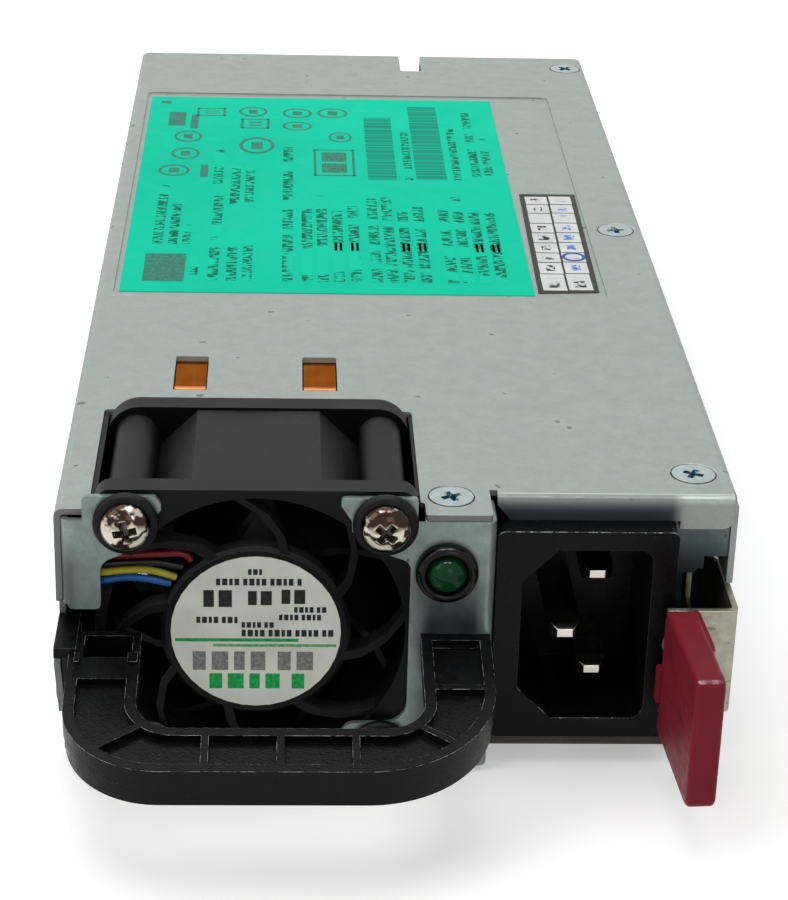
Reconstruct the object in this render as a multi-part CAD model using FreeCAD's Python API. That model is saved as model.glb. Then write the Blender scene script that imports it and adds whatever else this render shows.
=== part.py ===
"""Hot swap power supply for a rack server, built as separate pieces.

Units are millimetres. The pieces are drawn in the case's own corner frame: X runs from the
left side wall to the right one, Y runs back from the mains inlet's side of the front, and Z
runs up from the underside. Each piece is moved by TO_ORIGIN when it is written, so that the
origin of the finished part is the middle of the underside.
"""
import FreeCAD
import Part
import math
import os

V = FreeCAD.Vector

# ---- driving dimensions of the case
CASE_W = 86.0
CASE_L = 195.6
CASE_H = 37.2
SHEET = 0.8
BEND_IN = 0.4
BEND_OUT = SHEET + BEND_IN
GAP = 0.05                      # play between sheets that lie on each other
FRONT_STEP = 5.4                # how far the fan's side of the front stands ahead
FLOOR_TOP = SHEET
COVER_UNDER = CASE_H - SHEET
INNER_LEFT = SHEET + GAP
INNER_RIGHT = CASE_W - SHEET - GAP
TRAY_FRONT = SHEET + GAP        # outer face of the tray's inlet plate
FLANGE_TOP = COVER_UNDER - GAP  # top of everything that carries the cover
TO_ORIGIN = V(-CASE_W / 2, -CASE_L / 2, 0)

# ---- fan
FAN_SIZE = 40.0
FAN_DEPTH = 28.0
FAN_X = 25.0
FAN_Z = FAN_SIZE / 2
FAN_FRONT = -FRONT_STEP + SHEET
FAN_BACK = FAN_FRONT + FAN_DEPTH
FAN_HOLE = 16.0                 # from the centre to each screw, both ways
FAN_BORE_R = 18.9
ROUND = 36                      # flat sides of the fan's larger turned forms
FAN_FLANGE = 3.2
HUB_R = 12.0
ROTOR_R = 11.6
BLADE_R = 18.3
SHAFT_R = 2.0
BLADE_TWIST = ((0.0, 0.0), (4.5, 12.5), (9.0, 24.0), (13.5, 34.0), (18.0, 42.0))    # depth, turn
BEARING_R = 2.05
WASHER_T = 1.3
LEAD_D = 0.98

# ---- cover
NOTCH_LEFT = 4.3
NOTCH_RIGHT = 45.45
NOTCH_BACK = 25.6
TAB_RIGHT = 54.3                # cover tab over the lamp's strip
TAB_FRONT = -FRONT_STEP - GAP
LIP_LEFT = 55.3
LIP_RIGHT = 85.4
LIP_BOTTOM = 33.9
LIP_WING = 78.6                 # right of here the lip reaches lower
LIP_LOW = 32.8
SCREWS = [(49.4, 0.0), (81.0, 7.1), (81.5, 97.9), (82.2, 188.9)]
HEAD_R = 3.05
RIVET_Y = (40.0, 110.0, 178.0)
RIVET_LINES = ((-1.0, 3.0), (CASE_W + 1.0, CASE_W - 3.0))
RIVET_R = 1.6
RIVET_SHANK_R = 1.15
CLIPS = [(13.1, 17.7), (30.8, 35.6)]
CLIP_SLOT = (32.3, 44.0)
REAR_SLOT = (50.1, 54.2, 185.6)

# ---- lamp
LAMP_X = 48.8
LAMP_Z = 29.4
LAMP_RING_R = 4.0
LAMP_LENS_R = 2.5

# ---- mains inlet
INLET_X = (55.2, 78.2)
INLET_Z = (4.0, 33.9)
INLET_FRONT = -3.3
CAVITY_X = (58.6, 75.0)
CAVITY_Z = (6.9, 31.3)
CAVITY_CUT = 4.5
CAVITY_DEPTH = 16.5
BLADE_W = 4.0
BLADE_T = 2.0
LINE_X = 68.6
EARTH_X = 64.5

# ---- handle
HANDLE_X = (1.9, 54.6)
HANDLE_TOP = 20.5
HANDLE_REACH = 26.8
HANDLE_T = 5.4
HANDLE_DROOP = 8.0
ARM_W = 8.8
BAR_W = 8.0
HANDLE_R_LEFT = 12.0
HANDLE_R_RIGHT = 16.0
HANDLE_R_IN = 5.0
POCKET_D = 1.1
POCKET_RIM = 1.4
RIB_W = 0.9
HANDLE_RIVET = (-4.6, 12.8)

# ---- latch
SPRING_Z = (9.6, 24.4)
SPRING_X = 83.5
SPRING_REAR = 50.0
FOOT_Y = (54.0, 60.0)
SPRING_FRONT = -6.3
SPRING_OUT = 85.9               # outer face ahead of the bend into the case
SPRING_BEND = (7.0, 9.4)
LEVER_X = (76.45, 80.2)
LEVER_FRONT = -25.6
LEVER_YAW = 3.6
LEVER_RIVET = (78.6, 19.0)

# ---- main board
BOARD_X = (3.6, 82.0)
BOARD_Y = (28.0, 178.0)
BOARD_Z = 6.6
BOARD_T = 1.6
BOARD_TOP = BOARD_Z + BOARD_T
TONGUE_X = (22.0, 64.0)
TONGUE_END = CASE_L + 9.0
PLUG_TOP = 11.6


# ---------------------------------------------------------------- helpers
def box(x_range, y_range, z_range):
    """A block between the given limits."""
    low = V(x_range[0], y_range[0], z_range[0])
    size = [r[1] - r[0] for r in (x_range, y_range, z_range)]
    return Part.makeBox(size[0], size[1], size[2], low)


def rod(radius, start, end):
    """A round bar between two points."""
    start, end = V(*start), V(*end)
    return Part.makeCylinder(radius, (end - start).Length, start, end - start)


def at_level(axis, u, v, level):
    """The point (u, v) of a drawing plane that is square to axis."""
    return {"x": V(level, u, v), "y": V(u, level, v), "z": V(u, v, level)}[axis]


def outline(corners, axis, level):
    """A closed wire through corners (u, v) or (u, v, radius), with tangent arcs."""
    pts = [(c[0], c[1], c[2] if len(c) > 2 else 0.0) for c in corners]
    joints = []
    for i, (u, v, radius) in enumerate(pts):
        here = V(u, v, 0)
        back = V(pts[i - 1][0], pts[i - 1][1], 0) - here
        ahead = V(pts[(i + 1) % len(pts)][0], pts[(i + 1) % len(pts)][1], 0) - here
        back.normalize()
        ahead.normalize()
        if radius == 0:
            joints.append((here, None, here))
            continue
        half = math.acos(max(-1.0, min(1.0, back.dot(ahead)))) / 2
        to_middle = back + ahead
        to_middle.normalize()
        middle = here + to_middle * (radius / math.sin(half) - radius)
        reach = radius / math.tan(half)
        joints.append((here + back * reach, middle, here + ahead * reach))
    edges = []
    for i, (start, middle, end) in enumerate(joints):
        if middle is not None:
            arc = Part.Arc(*[at_level(axis, p.x, p.y, level) for p in (start, middle, end)])
            edges.append(arc.toShape())
        following = joints[(i + 1) % len(joints)][0]
        if (following - end).Length > 1e-6:
            ends = [at_level(axis, p.x, p.y, level) for p in (end, following)]
            edges.append(Part.LineSegment(*ends).toShape())
    return Part.Wire(edges)


def plate(corners, axis, levels):
    """A flat piece with the given outline, between two levels along axis."""
    face = Part.Face(outline(corners, axis, levels[0]))
    return face.extrude(at_level(axis, 0, 0, levels[1] - levels[0]))


def bent_sheet(path, axis, levels, thickness=SHEET, inside=BEND_IN):
    """Sheet metal whose one face follows path and whose body lies to the path's left."""
    pts = [V(p[0], p[1], 0) for p in path]
    lefts = []
    for a, b in zip(pts, pts[1:]):
        run = b - a
        run.normalize()
        lefts.append(V(-run.y, run.x, 0))
    face, back = [], []
    for i, p in enumerate(pts):
        before = lefts[max(i - 1, 0)]
        after = lefts[min(i, len(lefts) - 1)]
        offset = (before + after) * (thickness / (1 + before.dot(after)))
        q = p + offset
        turn = before.x * after.y - before.y * after.x
        if abs(turn) < 1e-9:
            radii = (0.0, 0.0)
        elif turn > 0:
            radii = (inside + thickness, inside)
        else:
            radii = (inside, inside + thickness)
        face.append((p.x, p.y, radii[0]))
        back.append((q.x, q.y, radii[1]))
    return plate(face + back[::-1], axis, levels)


def joined(shapes):
    """All the shapes fused into one, with split faces merged."""
    result = shapes[0].multiFuse(shapes[1:]) if len(shapes) > 1 else shapes[0]
    return result.removeSplitter()


def without(shape, tools):
    """The shape with all the tools cut away."""
    return shape.cut(Part.makeCompound(tools)) if tools else shape


def softened(shape, radius, wanted):
    """The shape with a fillet on every edge for which wanted(edge) is true."""
    edges = [e for e in shape.Edges if wanted(e)]
    return shape.makeFillet(radius, edges)


def skinned(rings):
    """A closed body with flat faces between neighbouring rings of points."""
    faces = [Part.Face(Part.makePolygon(ring + ring[:1])) for ring in (rings[0], rings[-1])]
    for near, far in zip(rings, rings[1:]):
        for k in range(len(near)):
            a, b, c, d = near[k - 1], near[k], far[k], far[k - 1]
            faces.append(Part.Face(Part.makePolygon([a, b, c, a])))
            faces.append(Part.Face(Part.makePolygon([a, c, d, a])))
    body = Part.makeSolid(Part.makeShell(faces))
    if body.Volume < 0:
        body.reverse()
    return body


def turned(steps, start, direction, sides=16):
    """A flat-sided turned piece for what repeats: steps are (distance, radius) from start."""
    rings = []
    for distance, radius in steps:
        turns = [2 * math.pi * k / sides for k in range(sides)]
        rings.append([V(radius * math.cos(t), radius * math.sin(t), distance) for t in turns])
    body = skinned(rings).removeSplitter()
    body.Placement = FreeCAD.Placement(V(*start), FreeCAD.Rotation(V(0, 0, 1), V(*direction)))
    return body


def drill(radius, start, end, sides=16):
    """A flat-sided bar or hole of one radius between two points."""
    direction = V(*end) - V(*start)
    return turned([(0, radius), (direction.Length, radius)], start, tuple(direction), sides)


def runs_along(edge, direction):
    """True for a straight edge that is parallel to direction."""
    if len(edge.Vertexes) != 2 or not isinstance(edge.Curve, Part.Line):
        return False
    run = edge.Vertexes[1].Point - edge.Vertexes[0].Point
    return run.cross(direction).Length < 1e-6 * max(run.Length, 1e-9)


def insulated_wire(points, diameter, sides=8):
    """A wire through points, with flat sides and mitred bends."""
    pts = [V(*p) for p in points]
    runs = []
    for a, b in zip(pts, pts[1:]):
        run = b - a
        run.normalize()
        runs.append(run)
    across = runs[0].cross(V(0, 0, 1) if abs(runs[0].z) < 0.9 else V(1, 0, 0))
    across.normalize()
    upward = runs[0].cross(across)
    turns = [2 * math.pi * (k + 0.5) / sides for k in range(sides)]
    ring = [pts[0] + across * (diameter / 2 * math.cos(t)) + upward * (diameter / 2 * math.sin(t))
            for t in turns]
    rings = [ring]
    for here, before, after in zip(pts[1:], runs, runs[1:] + runs[-1:]):
        mitre = before + after
        ring = [p + before * ((here - p).dot(mitre) / before.dot(mitre)) for p in ring]
        rings.append(ring)
    return skinned(rings)


def fan_point(radius, angle, y):
    """A point at a radius and an angle in degrees about the fan's axis."""
    turn = math.radians(angle)
    return V(FAN_X + radius * math.cos(turn), y, FAN_Z + radius * math.sin(turn))


# ---------------------------------------------------------------- case
def cover_shell():
    """The cover's top and both side walls as one bent sheet."""
    walls = ((0, CASE_W), (-12.0, CASE_L), (0, CASE_H))
    core = ((SHEET, CASE_W - SHEET), (-13.0, CASE_L + 1), (-1.0, COVER_UNDER))
    along = V(0, 1, 0)
    outer = softened(box(*walls), BEND_OUT, lambda e: runs_along(e, along) and e.BoundBox.ZMin > 1)
    inner = softened(box(*core), BEND_IN, lambda e: runs_along(e, along) and e.BoundBox.ZMin > 1)
    return outer.cut(inner)


def cover_front_cuts():
    """What is cut away at the front: notch, tab, wall profiles and the handle's ear."""
    strip_front = -FRONT_STEP + SHEET + 0.2
    ahead = -20.0
    top = [(-1, ahead), (-1, strip_front), (3.5, strip_front), (3.5, -2.6), (NOTCH_LEFT, -1.8),
           (NOTCH_LEFT, NOTCH_BACK, 0.6), (NOTCH_RIGHT, NOTCH_BACK, 0.6), (NOTCH_RIGHT, -1.8),
           (46.0, -2.2), (46.0, TAB_FRONT, 0.4), (TAB_RIGHT, TAB_FRONT, 0.4), (TAB_RIGHT, 1.8),
           (LIP_LEFT, 1.8), (LIP_LEFT, 2.2), (CASE_W + 1, 2.2), (CASE_W + 1, ahead)]
    left_wall = [(ahead, -1), (0, -1), (0, 8.8), (-5.6, 8.8, 0.8), (-10.3, 19.3, 0.8), (-0.7, 19.3),
                 (-0.7, 24.1), (strip_front, 24.1, 0.5), (strip_front, CASE_H + 1), (ahead, CASE_H + 1)]
    return [plate(top, "z", (COVER_UNDER - 0.6, CASE_H + 1)),
            plate(left_wall, "x", (-1, 3.0)),
            box((CASE_W - 3, CASE_W + 1), (ahead, 0.4), (-1, COVER_UNDER + 0.1)),
            box((CASE_W - 3, CASE_W + 1), (0, SPRING_BEND[1] + 0.8), (SPRING_Z[0] - 0.9, SPRING_Z[1] + 0.5))]


def cover_lip():
    """The short lip that is bent down over the inlet."""
    lip = bent_sheet([(2.3, CASE_H), (0, CASE_H), (0, LIP_BOTTOM)], "x", (LIP_LEFT, LIP_RIGHT))
    slant = plate([(LIP_LEFT - 1, CASE_H - BEND_OUT), (LIP_LEFT, CASE_H - BEND_OUT),
                   (LIP_LEFT + 2.5, LIP_BOTTOM - 1), (LIP_LEFT - 1, LIP_BOTTOM - 1)], "y", (-1, 1.2))
    wing = plate([(LIP_WING, LIP_BOTTOM + 0.5), (LIP_WING, LIP_LOW), (LIP_RIGHT, LIP_LOW, 1.4),
                  (LIP_RIGHT, LIP_BOTTOM + 0.5)], "y", (0, SHEET))
    return joined([without(lip, [slant]), wing])


def top_cover():
    """The removable cover: top, side walls, lip, lamp tab and the handle's ear."""
    body = joined([without(cover_shell(), cover_front_cuts()), cover_lip()])
    cuts = [turned([(0, HEAD_R + 0.12), (SHEET + 0.002, 1.87)], (x, y, CASE_H + 0.001), (0, 0, -1))
            for x, y in SCREWS]
    for low, high in CLIPS:
        cuts.append(plate([(low, CLIP_SLOT[0], 0.3), (high, CLIP_SLOT[0], 0.3),
                           (high, CLIP_SLOT[1], 0.3), (low, CLIP_SLOT[1], 0.3)],
                          "z", (COVER_UNDER - 1, CASE_H + 1)))
    cuts.append(plate([(REAR_SLOT[0], REAR_SLOT[2], 0.8), (REAR_SLOT[1], REAR_SLOT[2], 0.8),
                       (REAR_SLOT[1], CASE_L + 1), (REAR_SLOT[0], CASE_L + 1)],
                      "z", (COVER_UNDER - 1, CASE_H + 1)))
    label_recess = plate([(2.6, 68.0, 1), (76.9, 68.0, 1), (76.9, 169.6, 1), (2.6, 169.6, 1)],
                         "z", (CASE_H - 0.25, CASE_H + 1))
    cuts.append(label_recess)
    catch_window = box((CASE_W - 2, CASE_W + 1), (10.6, 19.8), (11.0, 22.6))
    cuts.append(catch_window)
    for y in RIVET_Y:
        for start, end in RIVET_LINES:
            cuts.append(drill(RIVET_R + 0.05, (start, y, 4.6), (end, y, 4.6)))
    y, z = HANDLE_RIVET
    cuts.append(drill(1.55, (-1, y, z), (2, y, z)))
    return without(body, cuts)


def chassis_tray():
    """Floor, low left flange, right wall with its cover flange, and the inlet plate."""
    floor = bent_sheet([(INNER_LEFT, 12.0), (INNER_LEFT, 0), (INNER_RIGHT, 0), (INNER_RIGHT, FLANGE_TOP),
                        (77.5, FLANGE_TOP)], "y", (TRAY_FRONT + SHEET, CASE_L - SHEET - GAP))
    front = bent_sheet([(TRAY_FRONT, 35.4), (TRAY_FRONT, 0), (4.0, 0)], "x", (53.0, INNER_RIGHT),
                       inside=0.01)
    left_front = box((INNER_LEFT, NOTCH_LEFT), (0.0, 4.0), (0, SHEET))
    body = joined([floor, front, left_front])
    inlet_hole = box((56.7, 76.7), (-1, 2.2), (5.5, 32.5))
    latch_hole = plate([(79.6, 4.6, 0.8), (84.9, 4.6, 0.8), (84.9, 26.7, 0.6), (81.4, 26.7),
                        (80.9, 26.1), (79.6, 26.1)], "y", (-1, 2.4))
    spring_bay = box((INNER_RIGHT - 3, CASE_W), (-1, SPRING_REAR + 0.6), (7.0, 28.5))
    front_corner = plate([(52, 36), (58.6, 36), (57.0, 33.2), (52, 33.2)], "y", (-1, 2.2))
    fan_notch = box((NOTCH_LEFT, 45.9), (-3, FAN_BACK + 0.8), (-1, 3))
    left_relief = box((INNER_LEFT - 1, INNER_LEFT + 1.5), (-3, 12.0), (SHEET, 14.0))
    cuts = [inlet_hole, latch_hole, spring_bay, fan_notch, left_relief, front_corner]
    cuts += [drill(1.35, (x, y, FLANGE_TOP + 1), (x, y, FLANGE_TOP - 2)) for x, y in SCREWS[1:]]
    cuts += [drill(1.35, (x, y, -1), (x, y, 2)) for x, y in STANDOFFS]
    for y in RIVET_Y:
        for start, end in RIVET_LINES:
            cuts.append(drill(RIVET_SHANK_R + 0.05, (start, y, 4.6), (end, y, 4.6)))
    cuts += [drill(1.55, (CASE_W, y, 16.8), (CASE_W - 3, y, 16.8)) for y in FOOT_Y]
    return without(body, cuts)


def rear_panel():
    """The plate that closes the rear, with its hexagonal air holes and tongue slot."""
    panel = plate([(INNER_LEFT, GAP), (INNER_RIGHT, GAP), (INNER_RIGHT, FLANGE_TOP - 0.5),
                   (INNER_RIGHT - 0.5, FLANGE_TOP), (INNER_LEFT + 0.5, FLANGE_TOP),
                   (INNER_LEFT, FLANGE_TOP - 0.5)], "y", (CASE_L - SHEET, CASE_L))
    cuts = [box((TONGUE_X[0] - 1, TONGUE_X[1] + 1), (CASE_L - 2, CASE_L + 1), (5.0, 10.4)),
            box(REAR_SLOT[:2], (CASE_L - 2, CASE_L + 1), (32.6, CASE_H))]
    pitch, hole = 6.6, 2.8
    for row in range(3):
        z = 15.6 + row * pitch * math.cos(math.pi / 6)
        count = 12 - row % 2
        for column in range(count):
            x = CASE_W / 2 + (column - (count - 1) / 2) * pitch
            sides = [(x + hole * math.sin(k * math.pi / 3), z + hole * math.cos(k * math.pi / 3))
                     for k in range(6)]
            cuts.append(plate(sides, "y", (CASE_L - 2, CASE_L + 1)))
    return without(panel, cuts)


def fan_bracket():
    """Sheet metal front of the fan's side: lamp strip, upper tab, lower strip, cover flange."""
    front_y = -FRONT_STEP
    wall = bent_sheet([(4.6, front_y), (54.9, front_y), (54.9, 0.7)], "z", (0.9, 39.4))
    face = [(35.5, 39.4, 0.5), (45.0, 39.4, 0.5), (45.0, 35.9), (45.95, 35.9), (45.95, FLANGE_TOP),
            (56.0, FLANGE_TOP), (56.0, 0.9), (4.6, 0.9), (4.6, 6.9),
            (12.8, 6.9, 2.0), (14.6, 4.4, 1.5), (35.2, 4.4, 1.5), (36.6, 7.2, 1.8), (44.3, 7.2, 3.0),
            (44.3, 30.6, 1.6), (41.0, 31.7, 4.6), (36.9, 34.8), (36.8, 36.3, 0.5), (35.5, 38.3)]
    body = wall.common(plate(face, "y", (front_y - 1, 2)))
    flange = box((46.0, 53.9), (front_y + 0.4, 7.0), (FLANGE_TOP - SHEET, FLANGE_TOP))
    body = joined([body, flange])
    body = softened(body, 0.38, lambda e: runs_along(e, V(1, 0, 0)) and e.BoundBox.YMax < front_y + 0.01
                    and e.BoundBox.ZMin > FLANGE_TOP - 0.01 and e.BoundBox.XMin > 45.9)
    cuts = [drill(2.35, (FAN_X + dx, 0, FAN_Z + dz), (FAN_X + dx, -8, FAN_Z + dz))
            for dx, dz in ((FAN_HOLE, FAN_HOLE), (FAN_HOLE, -FAN_HOLE), (-FAN_HOLE, -FAN_HOLE))]
    cuts.append(drill(3.2, (LAMP_X, -3, LAMP_Z), (LAMP_X, -8, LAMP_Z), 24))
    cuts.append(box((47.0, 53.2), (-8, -4), (15.9, 19.7)))
    cuts.append(drill(1.35, (SCREWS[0][0], SCREWS[0][1], 40), (SCREWS[0][0], SCREWS[0][1], 30)))
    return without(body, cuts)


def ear_bracket():
    """Sheet metal ear at the left: the fan's upper left corner and a flange along the wall."""
    front_y = -FRONT_STEP
    wall = bent_sheet([(13.3, front_y), (INNER_LEFT, front_y), (INNER_LEFT, 10.0)][::-1], "z",
                      (23.7, 39.4))
    face = [(0.0, 36.1), (3.6, 36.1), (3.6, 39.4, 0.6), (12.6, 39.4), (13.3, 38.5), (13.3, 37.6),
            (12.5, 36.4), (8.9, 31.6, 4.4), (5.65, 30.3, 2.0), (5.65, 23.7, 0.7), (1.6, 23.7, 0.5),
            (1.6, 24.3), (0.0, 24.3)]
    body = wall.common(plate(face, "y", (front_y - 1, 11)))
    side = box((INNER_LEFT, INNER_LEFT + SHEET), (8.0, 10.0), (24.3, 36.1))
    hole = drill(2.35, (FAN_X - FAN_HOLE, 0, FAN_Z + FAN_HOLE), (FAN_X - FAN_HOLE, -8, FAN_Z + FAN_HOLE))
    return without(joined([body, side]), [hole])


# ---------------------------------------------------------------- fan
def fan_flange(y_low, y_high, corner):
    """One square flange of the fan's frame."""
    half = FAN_SIZE / 2
    corners = [(FAN_X + sx * half, FAN_Z + sz * half, corner)
               for sx, sz in ((-1, -1), (1, -1), (1, 1), (-1, 1))]
    return plate(corners, "y", (y_low, y_high))


def fan_strut(angle):
    """One swept strut from the motor's seat to the frame."""
    sweep, half = 27.0, 0.65
    inner_r, outer_r = HUB_R - 0.8, FAN_BORE_R + 0.3
    rings = []
    for level in (FAN_FRONT + 0.3, FAN_FRONT + 3.0):
        sides = []
        for side in (-1, 1):
            row = []
            for share in (0.0, 0.33, 0.67, 1.0):
                radius = inner_r + (outer_r - inner_r) * share
                turn = angle + sweep * share ** 1.3 + side * math.degrees(half / radius)
                row.append(fan_point(radius, turn, level))
            sides.append(row)
        rings.append(sides[0] + sides[1][::-1])
    return skinned(rings)


def fan_frame():
    """Square housing with two flanges, eight-sided barrel, corner posts, struts and motor seat."""
    front = fan_flange(FAN_FRONT, FAN_FRONT + FAN_FLANGE, 2.2)
    back = fan_flange(FAN_BACK - FAN_FLANGE, FAN_BACK, 4.4)
    flat, side = 8.0, 19.6
    barrel = plate([(FAN_X + u, FAN_Z + v) for u, v in
                    ((flat, side), (-flat, side), (-side, flat), (-side, -flat), (-flat, -side),
                     (flat, -side), (side, -flat), (side, flat))], "y", (FAN_FRONT + 1, FAN_BACK - 1))
    posts = []
    holes = []
    for sx, sz in ((-1, -1), (1, -1), (1, 1), (-1, 1)):
        x, z = FAN_X + sx * FAN_HOLE, FAN_Z + sz * FAN_HOLE
        posts.append(turned([(1.0, 2.9), (FAN_DEPTH - 1, 2.9)], (x, FAN_FRONT, z), (0, 1, 0)))
        holes.append(drill(2.2, (x, FAN_BACK + 1, z), (x, FAN_FRONT - 1, z), 12))
    shell = joined([front, back, barrel] + posts)
    bore = rod(FAN_BORE_R, (FAN_X, FAN_FRONT - 1, FAN_Z), (FAN_X, FAN_BACK + 1, FAN_Z))
    lead_gate = box((4.0, 9.4), (FAN_FRONT - 1, -1.6), (25.6, 31.2))
    shell = without(shell, [bore, lead_gate] + holes)
    centre, inward = (FAN_X, FAN_FRONT, FAN_Z), (0, 1, 0)
    seat = turned([(0.2, HUB_R - 0.5), (0.6, HUB_R), (-2.0 - FAN_FRONT, HUB_R)], centre, inward, ROUND)
    label_dish = turned([(0.0, 10.9), (0.3, 10.9)], centre, inward, ROUND)
    tube = turned([(1.0, 3.6), (15.0 - FAN_FRONT, 3.6)], centre, inward)
    bearing = rod(BEARING_R, (FAN_X, -1.6, FAN_Z), (FAN_X, 16.0, FAN_Z))
    struts = [fan_strut(26 + 45 * k) for k in range(8)]
    middle = without(joined([seat, tube] + struts), [label_dish, bearing])
    return joined([shell, middle])


def blade_ring(y, turn):
    """The corners of one blade at a depth y, a swept band from the hub to the tip."""
    half, sweep, steps = 0.6, 24.0, 3
    root = ROTOR_R - 0.5
    sides = []
    for side in (-1, 1):
        row = []
        for step in range(steps + 1):
            share = step / steps
            radius = root + (BLADE_R - root) * share
            row.append(fan_point(radius, turn - sweep * share + side * math.degrees(half / radius), y))
        sides.append(row)
    return sides[0] + sides[1][::-1]


def fan_rotor():
    """Motor cup with its shaft and seven twisted blades."""
    front, back = -1.2, 20.0
    steps = [(front, ROTOR_R), (back - 1.0, ROTOR_R), (back, ROTOR_R - 1.0)]
    cup = turned(steps, (FAN_X, 0, FAN_Z), (0, 1, 0), ROUND)
    steps = [(front - 1, ROTOR_R - 1.0), (back - 1.6, ROTOR_R - 1.0)]
    hollow = turned(steps, (FAN_X, 0, FAN_Z), (0, 1, 0), ROUND)
    shaft = rod(SHAFT_R, (FAN_X, front + 0.2, FAN_Z), (FAN_X, back - 1, FAN_Z))
    collar = turned([(0, 3.4), (3.0, 3.4)], (FAN_X, 16.0, FAN_Z), (0, 1, 0))
    body = joined([cup.cut(hollow), shaft, collar])
    blades = []
    for k in range(7):
        turn = 360.0 / 7 * k
        blades.append(skinned([blade_ring(y, turn + twist) for y, twist in BLADE_TWIST]))
    core = turned([(-2.0, ROTOR_R - 0.3), (21.0, ROTOR_R - 0.3)], (FAN_X, 0, FAN_Z), (0, 1, 0), ROUND)
    blades = Part.makeCompound(blades).cut(core)
    return joined([body] + blades.Solids)


def rotor_magnet():
    """The magnet ring inside the motor cup."""
    outer = turned([(2.0, ROTOR_R - 1.0), (15.0, ROTOR_R - 1.0)], (FAN_X, 0, FAN_Z), (0, 1, 0), ROUND)
    return outer.cut(drill(ROTOR_R - 2.2, (FAN_X, 1, FAN_Z), (FAN_X, 16, FAN_Z), ROUND))


def stator_core():
    """The four-pole laminated core on the bearing tube."""
    core = drill(5.2, (FAN_X, 12.0, FAN_Z), (FAN_X, 4.0, FAN_Z))
    shoes = drill(8.8, (FAN_X, 12.0, FAN_Z), (FAN_X, 4.0, FAN_Z), 24).cut(
        drill(7.6, (FAN_X, 13, FAN_Z), (FAN_X, 3, FAN_Z), 24))
    slots = [box((-11, 11), (3, 13), (-1.2, 1.2)) for _ in range(2)]
    for slot, turn in zip(slots, (45, 135)):
        slot.rotate(V(0, 0, 0), V(0, 1, 0), turn)
        slot.translate(V(FAN_X, 0, FAN_Z))
    arms = [box((FAN_X - 8, FAN_X + 8), (4, 12), (FAN_Z - 1.3, FAN_Z + 1.3)),
            box((FAN_X - 1.3, FAN_X + 1.3), (4, 12), (FAN_Z - 8, FAN_Z + 8))]
    body = joined([core, without(shoes, slots)] + arms)
    return body.cut(drill(3.75, (FAN_X, 13, FAN_Z), (FAN_X, 3, FAN_Z)))


def stator_windings():
    """Four coils, one round each pole."""
    coils = []
    for turn in (0, 90, 180, 270):
        coil = box((5.3, 7.1), (2.9, 13.1), (-2.4, 2.4)).cut(box((5, 8), (3.95, 12.05), (-1.35, 1.35)))
        coil.rotate(V(0, 0, 0), V(0, 1, 0), turn)
        coil.translate(V(FAN_X, 0, FAN_Z))
        coils.append(coil)
    return Part.makeCompound(coils)


def fan_label():
    """The round label on the motor's seat."""
    return turned([(0.15, 10.75), (0.3, 10.75)], (FAN_X, FAN_FRONT, FAN_Z), (0, 1, 0), ROUND)


def fan_liners():
    """Thin black sheets that close the gaps between the fan's sides and the case."""
    half = FAN_SIZE / 2
    left = box((NOTCH_LEFT + GAP, FAN_X - half), (0.6, NOTCH_BACK - 0.3), (9.0, CASE_H - 0.3))
    right = box((FAN_X + half, NOTCH_RIGHT - GAP), (0.6, NOTCH_BACK - 0.3), (9.0, CASE_H - 0.3))
    return Part.makeCompound([left, right])


# the leads' places (x, z) between the frame's rim and the motor's seat, from the top one down
LEAD_FRONTS = [[(9.0, 30.15), (13.0, 30.35), (16.1, 30.3), (16.9, 29.35)],
               [(9.0, 29.1), (12.5, 29.15), (15.85, 28.5)],
               [(9.0, 28.05), (12.0, 27.9), (15.0, 27.05)],
               [(9.0, 27.0), (11.0, 26.8), (14.3, 26.1)]]


def fan_lead(order):
    """One of the four leads, from the motor's seat over the frame's rim and back to the board."""
    depth, out = -3.0, 13.5 - 2.0 * order
    front = [(x, depth, z) for x, z in LEAD_FRONTS[order]]
    rim = front[0][2]
    points = front[::-1] + [(4.7, depth, rim), (3.4, depth + 1.3, rim), (3.4, 20.0, 29.5 - 1.25 * order),
                            (3.9, 36.0, 22.0 - 1.5 * order), (out, 41.5, 15.0), (out, 41.5, PLUG_TOP)]
    return insulated_wire(points, LEAD_D)


def lead_connector():
    """The four-way plug of the fan's leads and its header on the board."""
    plug = box((6.2, 14.8), (39.6, 44.2), (BOARD_TOP, PLUG_TOP))
    keys = box((7.2, 13.8), (39.0, 39.7), (BOARD_TOP, 10.8))
    return joined([plug, keys])


def fan_fixings():
    """The seats of the fan's four screws: x, z and the radius of the washer."""
    return [(FAN_X + dx, FAN_Z + dz, 4.1 if dz > 0 else 3.8)
            for dx in (-FAN_HOLE, FAN_HOLE) for dz in (-FAN_HOLE, FAN_HOLE)]


def fan_washers():
    """Rubber washers between the sheet metal and the fan's screws, each with its sleeve."""
    rings = []
    for x, z, reach in fan_fixings():
        steps = [(-SHEET, 2.2), (0, 2.2), (0, reach), (WASHER_T, reach - 0.3)]
        ring = turned(steps, (x, -FRONT_STEP, z), (0, -1, 0))
        rings.append(ring.cut(drill(1.8, (x, 0, z), (x, -8, z))))
    return Part.makeCompound(rings)


def fan_screws():
    """Pan-head screws through the washers into the fan's posts."""
    steps = [(-10.0, 1.7), (0.0, 1.7), (0.0, 3.2), (1.0, 3.2), (2.0, 1.9)]
    return Part.makeCompound([turned(steps, (x, -FRONT_STEP - WASHER_T, z), (0, -1, 0), 12)
                              for x, z, reach in fan_fixings()])


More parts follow.
